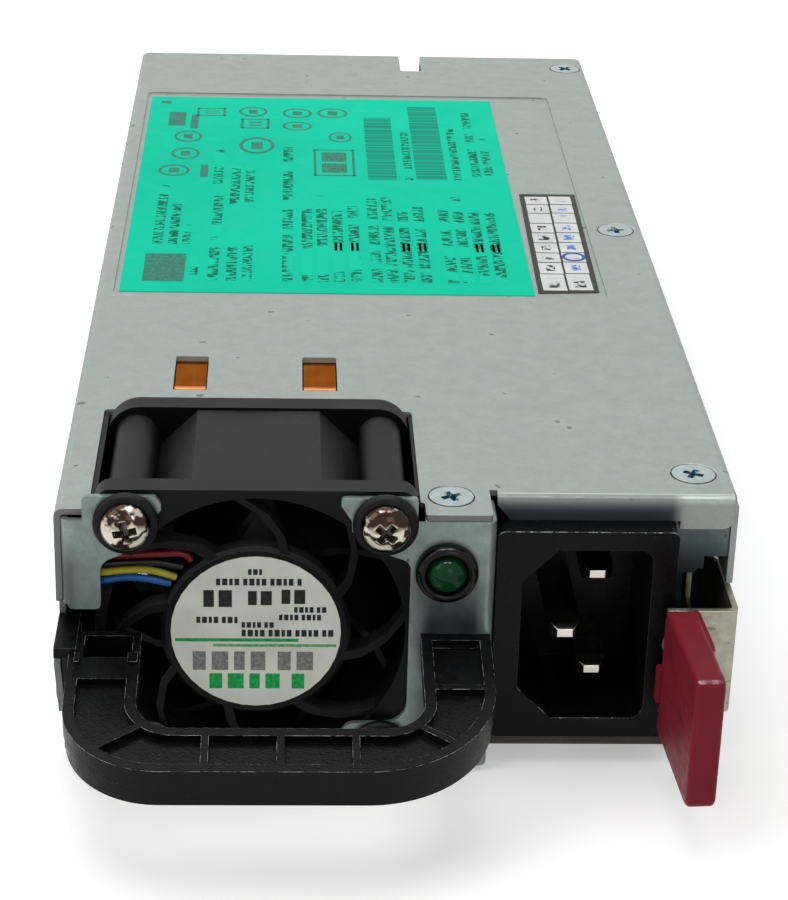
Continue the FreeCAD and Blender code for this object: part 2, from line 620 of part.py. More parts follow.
# ---------------------------------------------------------------- front fittings
def lamp_ring():
    """The black bezel that snaps into the sheet and holds the status lamp."""
    face, outward = (LAMP_X, -FRONT_STEP, LAMP_Z), (0, -1, 0)
    steps = [(-4.5, 3.1), (0.0, 3.1), (0.0, LAMP_RING_R), (0.8, LAMP_RING_R), (1.7, LAMP_RING_R - 0.8)]
    hole = turned([(-5.0, LAMP_LENS_R + 0.05), (2.0, LAMP_LENS_R + 0.05)], face, outward, 24)
    return turned(steps, face, outward, 24).cut(hole)


def lamp_lens():
    """The domed green lamp with its collar."""
    collar = LAMP_LENS_R + 0.5
    steps = [(-5.6, collar), (-4.6, collar), (-4.6, LAMP_LENS_R), (1.5, LAMP_LENS_R), (2.3, 1.9), (2.7, 1.2)]
    return turned(steps, (LAMP_X, -FRONT_STEP, LAMP_Z), (0, -1, 0), 24)


def lamp_leads():
    """The lamp's two wires, back to the board."""
    leads = []
    for side in (-1, 1):
        x = LAMP_X + side * 1.27
        points = [(x, 0.2, LAMP_Z), (x, 9.0, LAMP_Z), (x + 1.0, 26.0, 15.0), (x + 1.0, 35.0, 12.0),
                  (x + 1.0, 35.0, BOARD_TOP)]
        leads.append(insulated_wire(points, 0.9))
    return Part.makeCompound(leads)


def inlet_housing():
    """The moulded mains inlet: bezel, keyed cavity and body."""
    bezel = box(INLET_X, (INLET_FRONT, TRAY_FRONT), INLET_Z)
    along = V(0, 1, 0)
    bezel = softened(bezel, 1.0, lambda e: runs_along(e, along))
    body = box((56.9, 76.5), (TRAY_FRONT - 0.5, 21.0), (5.7, 32.3))
    cavity = [(CAVITY_X[0], CAVITY_Z[0] + CAVITY_CUT, 0.6), (CAVITY_X[0] + CAVITY_CUT, CAVITY_Z[0], 0.6),
              (CAVITY_X[1], CAVITY_Z[0], 1.8), (CAVITY_X[1], CAVITY_Z[1], 1.8),
              (CAVITY_X[0] + CAVITY_CUT, CAVITY_Z[1], 0.6), (CAVITY_X[0], CAVITY_Z[1] - CAVITY_CUT, 0.6)]
    hollow = plate(cavity, "y", (INLET_FRONT - 1, INLET_FRONT + CAVITY_DEPTH))
    slots = [box(*blade) for blade in blade_boxes(grow=0.01)]
    return without(joined([bezel, body]), [hollow] + slots)


def blade_boxes(grow=0.0):
    """Limits of the three contact blades and their rear tabs."""
    middle = (INLET_Z[0] + INLET_Z[1]) / 2
    places = [(LINE_X, 7.0, 0.5), (LINE_X, -7.0, 0.5), (EARTH_X, 0.0, -2.5)]
    boxes = []
    for x, dz, tip in places:
        boxes.append(((x - BLADE_W / 2 - grow, x + BLADE_W / 2 + grow), (tip, 26.0),
                      (middle + dz - BLADE_T / 2 - grow, middle + dz + BLADE_T / 2 + grow)))
    return boxes


def inlet_blades():
    """Three flat blades with tapered tips."""
    blades = []
    for x_range, y_range, z_range in blade_boxes():
        tip = y_range[0]
        corners = [(x_range[0], y_range[1]), (x_range[0], tip + 1.3), (x_range[0] + 1.0, tip),
                   (x_range[1] - 1.0, tip), (x_range[1], tip + 1.3), (x_range[1], y_range[1])]
        flat = plate(corners, "z", z_range)
        chamfer = plate([(tip - 0.1, z_range[1] - 0.5), (tip + 1.1, z_range[1]), (tip + 1.1, z_range[1] + 1),
                         (tip - 0.1, z_range[1] + 1)], "x", (x_range[0] - 1, x_range[1] + 1))
        under = plate([(tip - 0.1, z_range[0] + 0.5), (tip + 1.1, z_range[0]), (tip + 1.1, z_range[0] - 1),
                       (tip - 0.1, z_range[0] - 1)], "x", (x_range[0] - 1, x_range[1] + 1))
        blades.append(without(flat, [chamfer, under]))
    return Part.makeCompound(blades)


def inlet_wires():
    """Line and neutral wires from the inlet to the board."""
    middle = (INLET_Z[0] + INLET_Z[1]) / 2
    wires = []
    for dz, end_x in ((7.0, 60.0), (-7.0, 66.0)):
        points = [(LINE_X, 26.0, middle + dz), (LINE_X, 31.0, middle + dz), (end_x, 38.0, 12.0),
                  (end_x, 38.0, BOARD_TOP)]
        wires.append(insulated_wire(points, 2.2, 12))
    return Part.makeCompound(wires)


# ---------------------------------------------------------------- handle
def handle_outline(inset, drop):
    """Corners of the U-shaped handle, inset by a margin all round, open ends at the face."""
    left, right = HANDLE_X
    reach = -HANDLE_REACH
    inner = -HANDLE_REACH + BAR_W
    return [(left + inset, -drop), (left + inset, reach + inset, HANDLE_R_LEFT - inset),
            (right - inset, reach + inset, HANDLE_R_RIGHT - inset), (right - inset, -drop),
            (right - ARM_W + inset, -drop), (right - ARM_W + inset, inner - inset, HANDLE_R_IN + inset),
            (left + ARM_W - inset, inner - inset, HANDLE_R_IN + inset), (left + ARM_W - inset, -drop)]


def handle_ribs():
    """Ribs that stay between the pockets on the handle's top."""
    left, right = HANDLE_X
    inner, outer = -HANDLE_REACH + BAR_W, -HANDLE_REACH
    centre = (left + right) / 2
    low = (-POCKET_D - 1, 0)
    ribs = [box((centre + k * 9.0 - RIB_W / 2, centre + k * 9.0 + RIB_W / 2), (outer, inner), low)
            for k in (-1, 0, 1)]
    ribs.append(box((right - ARM_W, right), (-11.2, -11.2 + RIB_W), low))
    for edge, way in ((left + ARM_W, -1), (right - ARM_W, 1)):
        rib = box((-3, 12.0), (-RIB_W / 2, RIB_W / 2), low)
        rib.rotate(V(0, 0, 0), V(0, 0, 1), -38 if way > 0 else -142)
        rib.translate(V(edge - way * 1.2, inner + 1.0, 0))
        ribs.append(rib)
    ribs.append(box((left, left + ARM_W), (-9.4, 0), low))
    return ribs


def handle():
    """Moulded pull handle: ribbed U loop, root tongue and the hook over the wall's ear."""
    split = 2.8
    upper = plate(handle_outline(0.0, 0.0), "z", (-split, 0))
    lower = plate(handle_outline(0.25, 0.0), "z", (-HANDLE_T, -split + 0.01))
    pocket = plate(handle_outline(POCKET_RIM, POCKET_RIM), "z", (-POCKET_D, 1.0))
    pockets = without(pocket, handle_ribs())
    left = HANDLE_X[0]
    collar = box((left + 0.8, left + ARM_W - 0.2), (-7.1, -5.2), (-1, 0.85))
    recess = box((left + 1.8, left + ARM_W - 1.0), (-5.2, -0.8), (-3.4, 2.0))
    loop = without(joined([upper, lower, collar]), [pockets, recess])
    loop.rotate(V(0, 0, 0), V(1, 0, 0), HANDLE_DROOP)
    loop.translate(V(0, -FRONT_STEP - GAP, HANDLE_TOP))
    loop = loop.cut(box((-1, 60), (-FRONT_STEP - GAP, 5), (0, 40)))
    shelf = plate([(-10.1, 19.35), (-10.1, 20.7, 0.3), (-0.9, 20.7), (-0.9, 19.35)], "x", (0.0, 2.75))
    web = plate([(-10.1, 20.0), (-0.9, 20.0), (-0.9, 10.6), (-6.6, 10.6, 1.0)], "x", (SHEET + 0.15, 2.75))
    tongue = box((47.2, 53.0), (-FRONT_STEP - 2.0, -1.2), (16.1, 19.5))
    barb = plate([(-4.5, 16.2), (-4.5, 15.0), (-1.2, 16.1)], "x", (47.2, 53.0))
    y, z = HANDLE_RIVET
    return without(joined([loop, shelf, web, tongue, barb]), [drill(1.55, (0, y, z), (6, y, z))])


def handle_rivet():
    """Rivet that pins the handle's web to the wall's ear."""
    y, z = HANDLE_RIVET
    steps = [(-1.0, 1.5), (-0.4, 2.4), (0.0, 2.4), (0.0, 1.5), (2.78, 1.5), (2.78, 1.9), (3.3, 1.9)]
    return turned(steps, (0, y, z), (1, 0, 0))


# ---------------------------------------------------------------- latch
def latch_spring():
    """Leaf spring along the right wall, with the catch and the front tab for the lever."""
    right = SPRING_X + SHEET
    path = [(LEVER_X[0] + 0.4, SPRING_FRONT), (SPRING_OUT, SPRING_FRONT), (SPRING_OUT, SPRING_BEND[0]),
            (right, SPRING_BEND[1]), (right, SPRING_REAR)]
    strip = bent_sheet(path, "z", SPRING_Z)
    catch = plate([(right - 0.2, 18.9), (87.1, 13.6, 0.4), (87.1, 12.4), (right - 0.2, 11.8)], "z",
                  (12.0, 21.6))
    window = plate([(right - 2, 19.6), (right - 2, 11.2), (right, 11.2), (right, 19.6)], "z", (12.6, 21.0))
    rivet_hole = drill(1.25, (LEVER_RIVET[0], SPRING_FRONT + 2, LEVER_RIVET[1]),
                       (LEVER_RIVET[0], SPRING_FRONT - 1, LEVER_RIVET[1]))
    return joined([without(strip, [window, rivet_hole]), catch])


def spring_foot():
    """The riveted rear end of the leaf spring."""
    start = SPRING_REAR + 0.4
    foot = plate([(start, SPRING_Z[0]), (64.0, SPRING_Z[0], 2), (64.0, SPRING_Z[1], 2), (start, SPRING_Z[1])],
                 "x", (SPRING_X, SPRING_X + SHEET))
    return without(foot, [drill(1.55, (86, y, 16.8), (82, y, 16.8)) for y in FOOT_Y])


def spring_rivets():
    """Two rivets that hold the spring's foot on the tray's wall."""
    steps = [(INNER_RIGHT, 1.48), (SPRING_X, 1.48), (SPRING_X, 2.6), (SPRING_X - 1.0, 2.1)]
    steps = [(CASE_W - x, radius) for x, radius in steps]
    return Part.makeCompound([turned(steps, (CASE_W, y, 16.8), (-1, 0, 0)) for y in FOOT_Y])


def release_lever():
    """The moulded lever on the spring's front tab."""
    left, right = LEVER_X
    rear = SPRING_FRONT - GAP
    side = [(rear, 7.5, 0.8), (LEVER_FRONT, 7.0, 1.4), (LEVER_FRONT, 25.3, 1.6), (rear, 25.2, 2.2)]
    blade = plate(side, "x", (left, right))
    pad = rod(9.4, (right - 0.3, -12.0, 16.8), (right + 0.45, -12.0, 16.8))
    pad = pad.common(box((right - 1, right + 1), (LEVER_FRONT + 3, rear), (9.0, 24.8)))
    clasp = box((left - 0.6, left + 0.5), (rear - 1.6, rear), (11.8, 16.8))
    lever = joined([blade, pad, clasp])
    lever.rotate(V(left, rear, 0), V(0, 0, 1), LEVER_YAW)
    behind = box((left - 4, right + 9), (rear, rear + 4), (0, 40))
    hole = drill(1.25, (LEVER_RIVET[0], rear + 1, LEVER_RIVET[1]), (LEVER_RIVET[0], rear - 4, LEVER_RIVET[1]))
    return without(lever, [behind, hole])


def lever_rivet():
    """Rivet through the spring's tab into the lever's root."""
    x, z = LEVER_RIVET
    steps = [(-1.1, 1.4), (-0.5, 2.0), (0.0, 2.0), (0.0, 1.2), (SHEET + 3.8, 1.2)]
    return turned(steps, (x, SPRING_FRONT + SHEET, z), (0, -1, 0))


# ---------------------------------------------------------------- fasteners and labels
def cover_screws():
    """Countersunk screws of the cover."""
    steps = [(0.02, HEAD_R), (SHEET, 1.75), (SHEET, 1.25), (4.6, 1.25)]
    return Part.makeCompound([turned(steps, (x, y, CASE_H), (0, 0, -1)) for x, y in SCREWS])


def case_rivets():
    """Flush rivets between the cover's walls and the tray's flanges."""
    steps = [(1.02, RIVET_R), (1.0 + SHEET, RIVET_R), (1.0 + SHEET, RIVET_SHANK_R), (3.4, RIVET_SHANK_R)]
    return Part.makeCompound([turned(steps, (start, y, 4.6), (end - start, 0, 0))
                              for y in RIVET_Y for start, end in RIVET_LINES])


def bridge_clips():
    """Copper fingers that bridge the two slots of the cover."""
    clips = []
    for low, high in CLIPS:
        spine = [(CLIP_SLOT[0] + 0.7, 33.0), (CLIP_SLOT[0] + 0.9, CASE_H - 0.15),
                 (CLIP_SLOT[1] - 2.6, CASE_H - 0.15), (CLIP_SLOT[1] - 0.4, COVER_UNDER - GAP),
                 (CLIP_SLOT[1] + 8.0, COVER_UNDER - GAP)]
        clips.append(bent_sheet(spine[::-1], "x", (low + 0.15, high - 0.15), 0.4, 0.5))
    return Part.makeCompound(clips)


def rating_label():
    """The rating label in the cover's recess."""
    return box((3.4, 66.0), (69.0, 167.2), (CASE_H - 0.25, CASE_H - 0.13))


def date_label():
    """The small label with two columns of date cells."""
    return plate([(66.6, 70.0), (75.9, 70.6), (76.6, 115.3), (67.3, 115.2)], "z",
                 (CASE_H - 0.25, CASE_H - 0.13))


# ---------------------------------------------------------------- inside
STANDOFFS = [(8.0, 33.0), (78.0, 40.0), (8.0, 172.0), (78.0, 172.0), (36.0, 101.0)]


def main_board():
    """The circuit board, with its rear tongue that is the output's card edge."""
    corners = [(BOARD_X[0], BOARD_Y[0]), (BOARD_X[1], BOARD_Y[0]), (BOARD_X[1], BOARD_Y[1]),
               (TONGUE_X[1], BOARD_Y[1]), (TONGUE_X[1], TONGUE_END - 0.8), (TONGUE_X[1] - 0.8, TONGUE_END),
               (TONGUE_X[0] + 0.8, TONGUE_END), (TONGUE_X[0], TONGUE_END - 0.8), (TONGUE_X[0], BOARD_Y[1]),
               (BOARD_X[0], BOARD_Y[1])]
    board = plate(corners, "z", (BOARD_Z, BOARD_TOP))
    return without(board, [drill(1.7, (x, y, 12), (x, y, 0), 12) for x, y in STANDOFFS])


def edge_contacts():
    """Plated fingers on both faces of the tongue."""
    pads = []
    wide, narrow = 3.2, 1.0
    x = TONGUE_X[0] + 0.8
    widths = [wide] * 4 + [narrow] * 10 + [wide] * 3
    for width in widths:
        for z_range in ((BOARD_TOP, BOARD_TOP + 0.06), (BOARD_Z - 0.06, BOARD_Z)):
            pads.append(box((x, x + width), (TONGUE_END - 8.6, TONGUE_END - 0.8), z_range))
        x += width + 0.55
    return Part.makeCompound([p for p in pads if p.BoundBox.XMax < TONGUE_X[1]])


def standoffs():
    """Hexagonal pillars between the floor and the board."""
    pillars = []
    for x, y in STANDOFFS:
        pillar = turned([(FLOOR_TOP, 2.9), (BOARD_Z, 2.9)], (x, y, 0), (0, 0, 1), 6)
        pin = turned([(0.1, 1.2), (FLOOR_TOP + 0.1, 1.2)], (x, y, 0), (0, 0, 1), 12)
        pillars.append(joined([pillar, pin]))
    return Part.makeCompound(pillars)


def board_screws():
    """Screws that hold the board on its pillars."""
    steps = [(0.0, 2.6), (1.2, 2.6), (1.9, 1.6)]
    return Part.makeCompound([turned(steps, (x, y, BOARD_TOP), (0, 0, 1), 12) for x, y in STANDOFFS])


def insulator():
    """The sheet between the board's solder side and the floor."""
    sheet = box((3.0, 82.0), (27.0, 184.0), (FLOOR_TOP + GAP, FLOOR_TOP + 0.45))
    return without(sheet, [drill(3.3, (x, y, 3), (x, y, 0), 12) for x, y in STANDOFFS])


def bulk_capacitors():
    """Two large mains capacitors lying on the board, each with its crimped groove."""
    steps = [(0, 11.4), (1.0, 12.4), (30.2, 12.4), (31.0, 11.7), (31.8, 12.4), (35.0, 12.4)]
    return Part.makeCompound([turned(steps, (13.0, y, BOARD_TOP + 12.4), (1, 0, 0)) for y in (58.0, 84.5)])


def heat_sink(x_range, y_range, fins, height, toward):
    """An extruded heat sink: upright web with fins to one side."""
    web = box(x_range, y_range, (BOARD_TOP + 0.6, BOARD_TOP + height))
    pitch = (height - 3.0) / fins
    ribs = []
    for k in range(fins):
        z = BOARD_TOP + 2.0 + k * pitch
        base = x_range[1] - 0.1 if toward > 0 else x_range[0] + 0.1
        span = sorted((base, base + toward * 6.1))
        ribs.append(box(span, y_range, (z, z + 1.1)))
    feet = [box(x_range, (y, y + 3.0), (BOARD_TOP, BOARD_TOP + 1)) for y in (y_range[0] + 3, y_range[1] - 6)]
    return joined([web] + ribs + feet)


def transistors(x, toward, places):
    """Flat power transistors on a heat sink's web, with their legs in the board."""
    parts = []
    for y in places:
        wide, thin = [sorted((x, x + toward * depth)) for depth in (4.4, 1.2)]
        body = box(wide, (y - 5, y + 5), (BOARD_TOP + 5, BOARD_TOP + 14))
        tab = box(thin, (y - 5, y + 5), (BOARD_TOP + 13.9, BOARD_TOP + 20))
        root = x + toward * 2.4
        legs = [box((root - 0.3, root + 0.3), (y + k * 2.54 - 0.4, y + k * 2.54 + 0.4),
                    (BOARD_TOP, BOARD_TOP + 5.1)) for k in (-1, 0, 1)]
        parts.append(joined([body, tab] + legs))
    return Part.makeCompound(parts)


def transformer_core():
    """Ferrite core of the main transformer, two E halves."""
    x_range, y_range, z_range = (20.0, 48.0), (106.0, 134.0), (BOARD_TOP + 2.0, BOARD_TOP + 24.0)
    block = box(x_range, y_range, z_range)
    windows = [box((x_range[0] - 1, x_range[1] + 1), (106.0 + a, 106.0 + b), (z_range[0] + 5, z_range[1] - 5))
               for a, b in ((5.0, 10.0), (18.0, 23.0))]
    return without(block, windows)


def transformer_winding():
    """Coil former and winding round the transformer's middle limb."""
    outer = box((17.0, 51.0), (111.2, 128.8), (BOARD_TOP + 7.2, BOARD_TOP + 18.8))
    limb = box((15.0, 53.0), (115.9, 124.1), (BOARD_TOP + 5, BOARD_TOP + 21))
    keep = box((19.9, 48.1), (115.8, 124.2), (BOARD_TOP + 5, BOARD_TOP + 21))
    body = outer.cut(keep)
    pins = [box((x - 0.4, x + 0.4), (y - 0.4, y + 0.4), (BOARD_TOP, BOARD_TOP + 7.3))
            for x in (18.6, 49.4) for y in (113, 120, 127)]
    return joined([body.cut(limb.common(keep))] + pins)


def toroid(x, y, z, big, small):
    """A wound ring choke that stands on its edge along X."""
    steps = [(0, big + small * 0.5), (small * 0.6, big + small), (small * 1.4, big + small),
             (small * 2, big + small * 0.5)]
    ring = turned(steps, (x, y + small, z), (0, -1, 0))
    return ring.cut(drill(big - small, (x, y + small + 1, z), (x, y - small - 1, z)))


def choke_windings():
    """Copper windings of the output and filter chokes."""
    rings = [toroid(60.0, y, BOARD_TOP + 8.85, 5.6, 3.2) for y in (113.0, 125.0)]
    rings.append(toroid(68.0, 58.0, BOARD_TOP + 11.55, 7.8, 3.7))
    return Part.makeCompound(rings)


def output_capacitors():
    """Two rows of small upright capacitors by the output."""
    cans = []
    for row in range(2):
        for column in range(6):
            x, y = 14.0 + column * 11.6, 150.0 + row * 12.5
            cans.append(turned([(0, 4.9), (18.4, 4.9), (19.0, 4.3)], (x, y, BOARD_TOP), (0, 0, 1), 8))
    return Part.makeCompound(cans)


def control_board():
    """Upright control board with its chips."""
    board = box((70.6, 72.2), (72.0, 104.0), (BOARD_TOP, BOARD_TOP + 24.0))
    chips = [box((72.1, 73.6), (y, y + 7.0), (BOARD_TOP + z, BOARD_TOP + z + 7.0))
             for y, z in ((75.0, 5.0), (86.0, 12.0), (94.0, 4.0))]
    return joined([board] + chips)


def filter_box():
    """Filter capacitor and relay beside the inlet."""
    blocks = [box((49.5, 56.0), (44.0, 62.0), (BOARD_TOP, BOARD_TOP + 14.0)),
              box((50.5, 62.0), (68.0, 88.0), (BOARD_TOP, BOARD_TOP + 15.5))]
    return Part.makeCompound(blocks)


# ---------------------------------------------------------------- every node of the part
NODES = {
    "top_cover": top_cover,
    "chassis_tray": chassis_tray,
    "rear_panel": rear_panel,
    "fan_bracket": fan_bracket,
    "ear_bracket": ear_bracket,
    "fan_frame": fan_frame,
    "fan_rotor": fan_rotor,
    "rotor_magnet": rotor_magnet,
    "stator_core": stator_core,
    "stator_windings": stator_windings,
    "fan_label": fan_label,
    "fan_liners": fan_liners,
    "fan_lead_red": lambda: fan_lead(0),
    "fan_lead_black": lambda: fan_lead(1),
    "fan_lead_yellow": lambda: fan_lead(2),
    "fan_lead_blue": lambda: fan_lead(3),
    "lead_connector": lead_connector,
    "fan_washers": fan_washers,
    "fan_screws": fan_screws,
    "lamp_ring": lamp_ring,
    "lamp_lens": lamp_lens,
    "lamp_leads": lamp_leads,
    "inlet_housing": inlet_housing,
    "inlet_blades": inlet_blades,
    "inlet_wires": inlet_wires,
    "handle": handle,
    "handle_rivet": handle_rivet,
    "latch_spring": latch_spring,
    "spring_foot": spring_foot,
    "spring_rivets": spring_rivets,
    "release_lever": release_lever,
    "lever_rivet": lever_rivet,
    "cover_screws": cover_screws,
    "case_rivets": case_rivets,
    "bridge_clips": bridge_clips,
    "rating_label": rating_label,
    "date_label": date_label,
    "main_board": main_board,
    "edge_contacts": edge_contacts,
    "standoffs": standoffs,
    "board_screws": board_screws,
    "insulator": insulator,
    "bulk_capacitors": bulk_capacitors,
    "primary_heat_sink": lambda: heat_sink((4.6, 6.2), (50.0, 98.0), 4, 25.0, 1),
    "secondary_heat_sink": lambda: heat_sink((73.4, 75.0), (108.0, 144.0), 5, 25.0, 1),
    "power_transistors": lambda: transistors(73.4, -1, (114.0, 126.0, 138.0)),
    "transformer_core": transformer_core,
    "transformer_winding": transformer_winding,
    "choke_windings": choke_windings,
    "output_capacitors": output_capacitors,
    "control_board": control_board,
    "filter_box": filter_box,
}


def main():
    os.makedirs("parts", exist_ok=True)
    for name, build in NODES.items():
        shape = build()
        shape.translate(TO_ORIGIN)
        shape.exportStep(f"parts/{name}.step")
        print(name, "valid" if shape.isValid() else "INVALID", len(shape.Solids), "solids",
              round(shape.Volume, 1), "mm3")


main()
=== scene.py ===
"""Dresses a slide-in server power supply: plated steel case, axial fan, mains inlet, pull handle,
release lever and status lamp, with a plain studio stage.

Lengths are metres. +Y runs from the fan's end to the card edge and +Z out of the cover.
"""
import bpy
import bmesh
import math
from mathutils import Matrix, Vector


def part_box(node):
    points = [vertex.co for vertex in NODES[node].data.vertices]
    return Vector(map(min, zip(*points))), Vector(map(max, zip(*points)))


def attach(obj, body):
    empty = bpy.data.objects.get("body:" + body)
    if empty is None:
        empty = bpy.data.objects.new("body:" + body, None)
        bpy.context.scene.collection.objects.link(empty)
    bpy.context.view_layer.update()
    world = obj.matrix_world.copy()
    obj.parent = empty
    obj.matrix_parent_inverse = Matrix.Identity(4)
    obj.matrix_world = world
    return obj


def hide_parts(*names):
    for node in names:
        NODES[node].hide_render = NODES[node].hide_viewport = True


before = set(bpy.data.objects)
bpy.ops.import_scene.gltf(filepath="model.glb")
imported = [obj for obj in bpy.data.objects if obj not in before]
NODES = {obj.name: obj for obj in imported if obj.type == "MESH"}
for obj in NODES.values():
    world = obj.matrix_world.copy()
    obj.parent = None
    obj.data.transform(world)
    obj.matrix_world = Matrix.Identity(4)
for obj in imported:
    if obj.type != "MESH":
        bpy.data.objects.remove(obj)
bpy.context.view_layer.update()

bl_info = {
    "name": "Server power supply",
    "version": (1, 0, 0),
    "blender": (4, 5, 0),
    "location": "View3D > Sidebar > Supply",
    "description": "Builds the looks of a slide-in server power supply and its stage",
    "category": "Object",
}

MM = 0.001
INK_ROOT = 0.01 * MM  # how far printing reaches into its label
EASE_ANGLE = 30.0  # edges sharper than this are eased, in degrees
FLAT_ANGLE = 0.6  # faces that lean less than this are merged first, in degrees


# ---------------------------------------------------------------- places taken from the frame
def span(node):
    """Lowest and highest corner of a node of the frame."""
    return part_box(node)


def middle(node):
    """Centre of a node's box."""
    low, high = span(node)
    return (low + high) / 2


FAN_MID = middle("fan_frame")
COVER_TOP = span("top_cover")[1].z


# ---------------------------------------------------------------- sizes and colours
def colour(name, text, default):
    """A colour setting."""
    return bpy.props.FloatVectorProperty(name=name, description=text, subtype="COLOR", size=3,
                                         min=0.0, max=1.0, default=default)


def length(name, text, default):
    """A length setting in metres."""
    return bpy.props.FloatProperty(name=name, description=text, default=default, min=0.0,
                                   subtype="DISTANCE", unit="LENGTH")


def factor(name, text, default, high):
    """A plain number setting."""
    return bpy.props.FloatProperty(name=name, description=text, default=default, min=0.0, max=high)


class SupplyColours(bpy.types.PropertyGroup):
    """Colours of the finishes."""

    zinc: colour("Zinc plate", "Colour of the plated case", (0.305, 0.35, 0.328))
    zinc_front: colour("Front zinc", "Colour of the plated front brackets", (0.20, 0.25, 0.235))
    # painted shade: this darker tone stands for the shade on the cover's short lip and on the lamp strip
    zinc_painted_shade: colour("Painted shade zinc", "Darker tone in the middle of the front plates", (0.011, 0.017, 0.020))
    nickel: colour("Nickel", "Colour of the plated spring", (0.33, 0.32, 0.255))
    copper: colour("Copper alloy", "Colour of the two bridge clips", (0.235, 0.083, 0.034))
    film: colour("Rating label", "Colour of the rating label's film", (0.005, 0.55, 0.345))
    film_ink: colour("Rating ink", "Colour of the marks on the rating label", (0.006, 0.13, 0.09))
    paper: colour("Paper", "Colour of the date label and the fan's label", (0.66, 0.68, 0.60))
    green_ink: colour("Green ink", "Colour of the two lines on the fan's label", (0.01, 0.26, 0.06))
    moulding: colour("Black moulding", "Colour of the handle and the inlet", (0.0022, 0.0022, 0.0026))
    fan: colour("Fan plastic", "Colour of the fan's frame", (0.0035, 0.0036, 0.0036))
    dust: colour("Dust", "Colour of the dust on the fan", (0.030, 0.032, 0.030))
    lever: colour("Lever", "Colour of the release lever", (0.16, 0.0125, 0.021))
    lamp: colour("Lamp", "Colour of the status lamp", (0.0006, 0.038, 0.011))


class SupplySizes(bpy.types.PropertyGroup):
    """Sizes of the finer work."""

    sheet_edge: length("Sheet edge", "How far the cut edges of the sheet metal are rounded", 0.00012)
    mould_edge: length("Mould edge", "How far the edges of the mouldings are rounded", 0.0002)
    handle_edge: length("Handle edge", "How far the handle's edges are rounded", 0.0003)
    lever_edge: length("Lever edge", "How far the lever's edges are rounded", 0.0007)
    ink_lift: length("Ink lift", "How far the printing stands off its label", 0.00002)
    recess: length("Screw recess", "Width of the cross recess of the fan's screws", 0.0047)
    lead: length("Lead", "Thickness of the fan's leads", 0.00096)


class SupplyStage(bpy.types.PropertyGroup):
    """Camera, floor and lights."""

    lens: bpy.props.FloatProperty(name="Lens", description="Focal length on a 36 mm sensor, in mm",
                                  default=99.861, min=10.0, subtype="DISTANCE_CAMERA")
    place: bpy.props.FloatVectorProperty(name="Camera place", description="Where the camera stands",
                                         size=3, subtype="TRANSLATION", unit="LENGTH",
                                         default=(-0.014523, -0.378533, 0.175143))
    turn: bpy.props.FloatVectorProperty(name="Camera turn", description="Camera's yaw, pitch and roll",
                                        size=3, default=(0.0482, 0.4380, -0.0289))
    floor: length("Floor", "Width of the square floor", 8.0)
    key: factor("Key light", "Power of the large lamp overhead, in watts", 9.0, high=500.0)
    side: factor("Side light", "Power of the lamp at the left, in watts", 5.0, high=500.0)
    front: factor("Front light", "Power of the lamp in front, in watts", 2.2, high=500.0)
    glint: factor("Glint light", "Power of each of the two small glint lamps, in watts", 4.0, high=50.0)
    air: factor("Air light", "Strength of the even light from all round", 0.42, high=5.0)
    backdrop: factor("Backdrop", "Brightness that the floor and the air show to the camera", 1.0, high=2.0)


def settings():
    """The scene's three groups of settings."""
    scene = bpy.context.scene
    return scene.supply_colours, scene.supply_sizes, scene.supply_stage


# ---------------------------------------------------------------- node materials
class Graph:
    """Writes nodes into a tree."""

    def __init__(self, tree):
        self.tree = tree

    def add(self, kind, sockets=None, **values):
        """A new node, with values for its sockets and its properties."""
        node = self.tree.nodes.new(kind)
        for key, value in values.items():
            setattr(node, key, value)
        for key, value in (sockets or {}).items():
            self.feed(node.inputs[key], value)
        return node

    def feed(self, socket, value):
        """Gives a socket a link, a number, a vector or a colour."""
        if isinstance(value, bpy.types.NodeSocket):
            self.tree.links.new(value, socket)
        elif isinstance(value, (int, float)):
            socket.default_value = value
        else:
            socket.default_value = (*value, 1.0) if len(socket.default_value) == 4 else value

    def sum(self, kind, first, second=0.0):
        """One step of arithmetic."""
        return self.add("ShaderNodeMath", {0: first, 1: second}, operation=kind).outputs[0]

    def ramp(self, value, low, high, start=0.0, end=1.0):
        """A value mapped from low..high to start..end, held inside."""
        sockets = {"Value": value, "From Min": low, "From Max": high, "To Min": start, "To Max": end}
        return self.add("ShaderNodeMapRange", sockets).outputs["Result"]

    def seen(self):
        """1 for camera, glossy and transmission rays, 0 for the light that falls on the object."""
        path = self.add("ShaderNodeLightPath").outputs
        share = path["Is Camera Ray"]
        for ray in ("Is Glossy Ray", "Is Transmission Ray"):
            share = self.sum("MAXIMUM", share, path[ray])
        return share


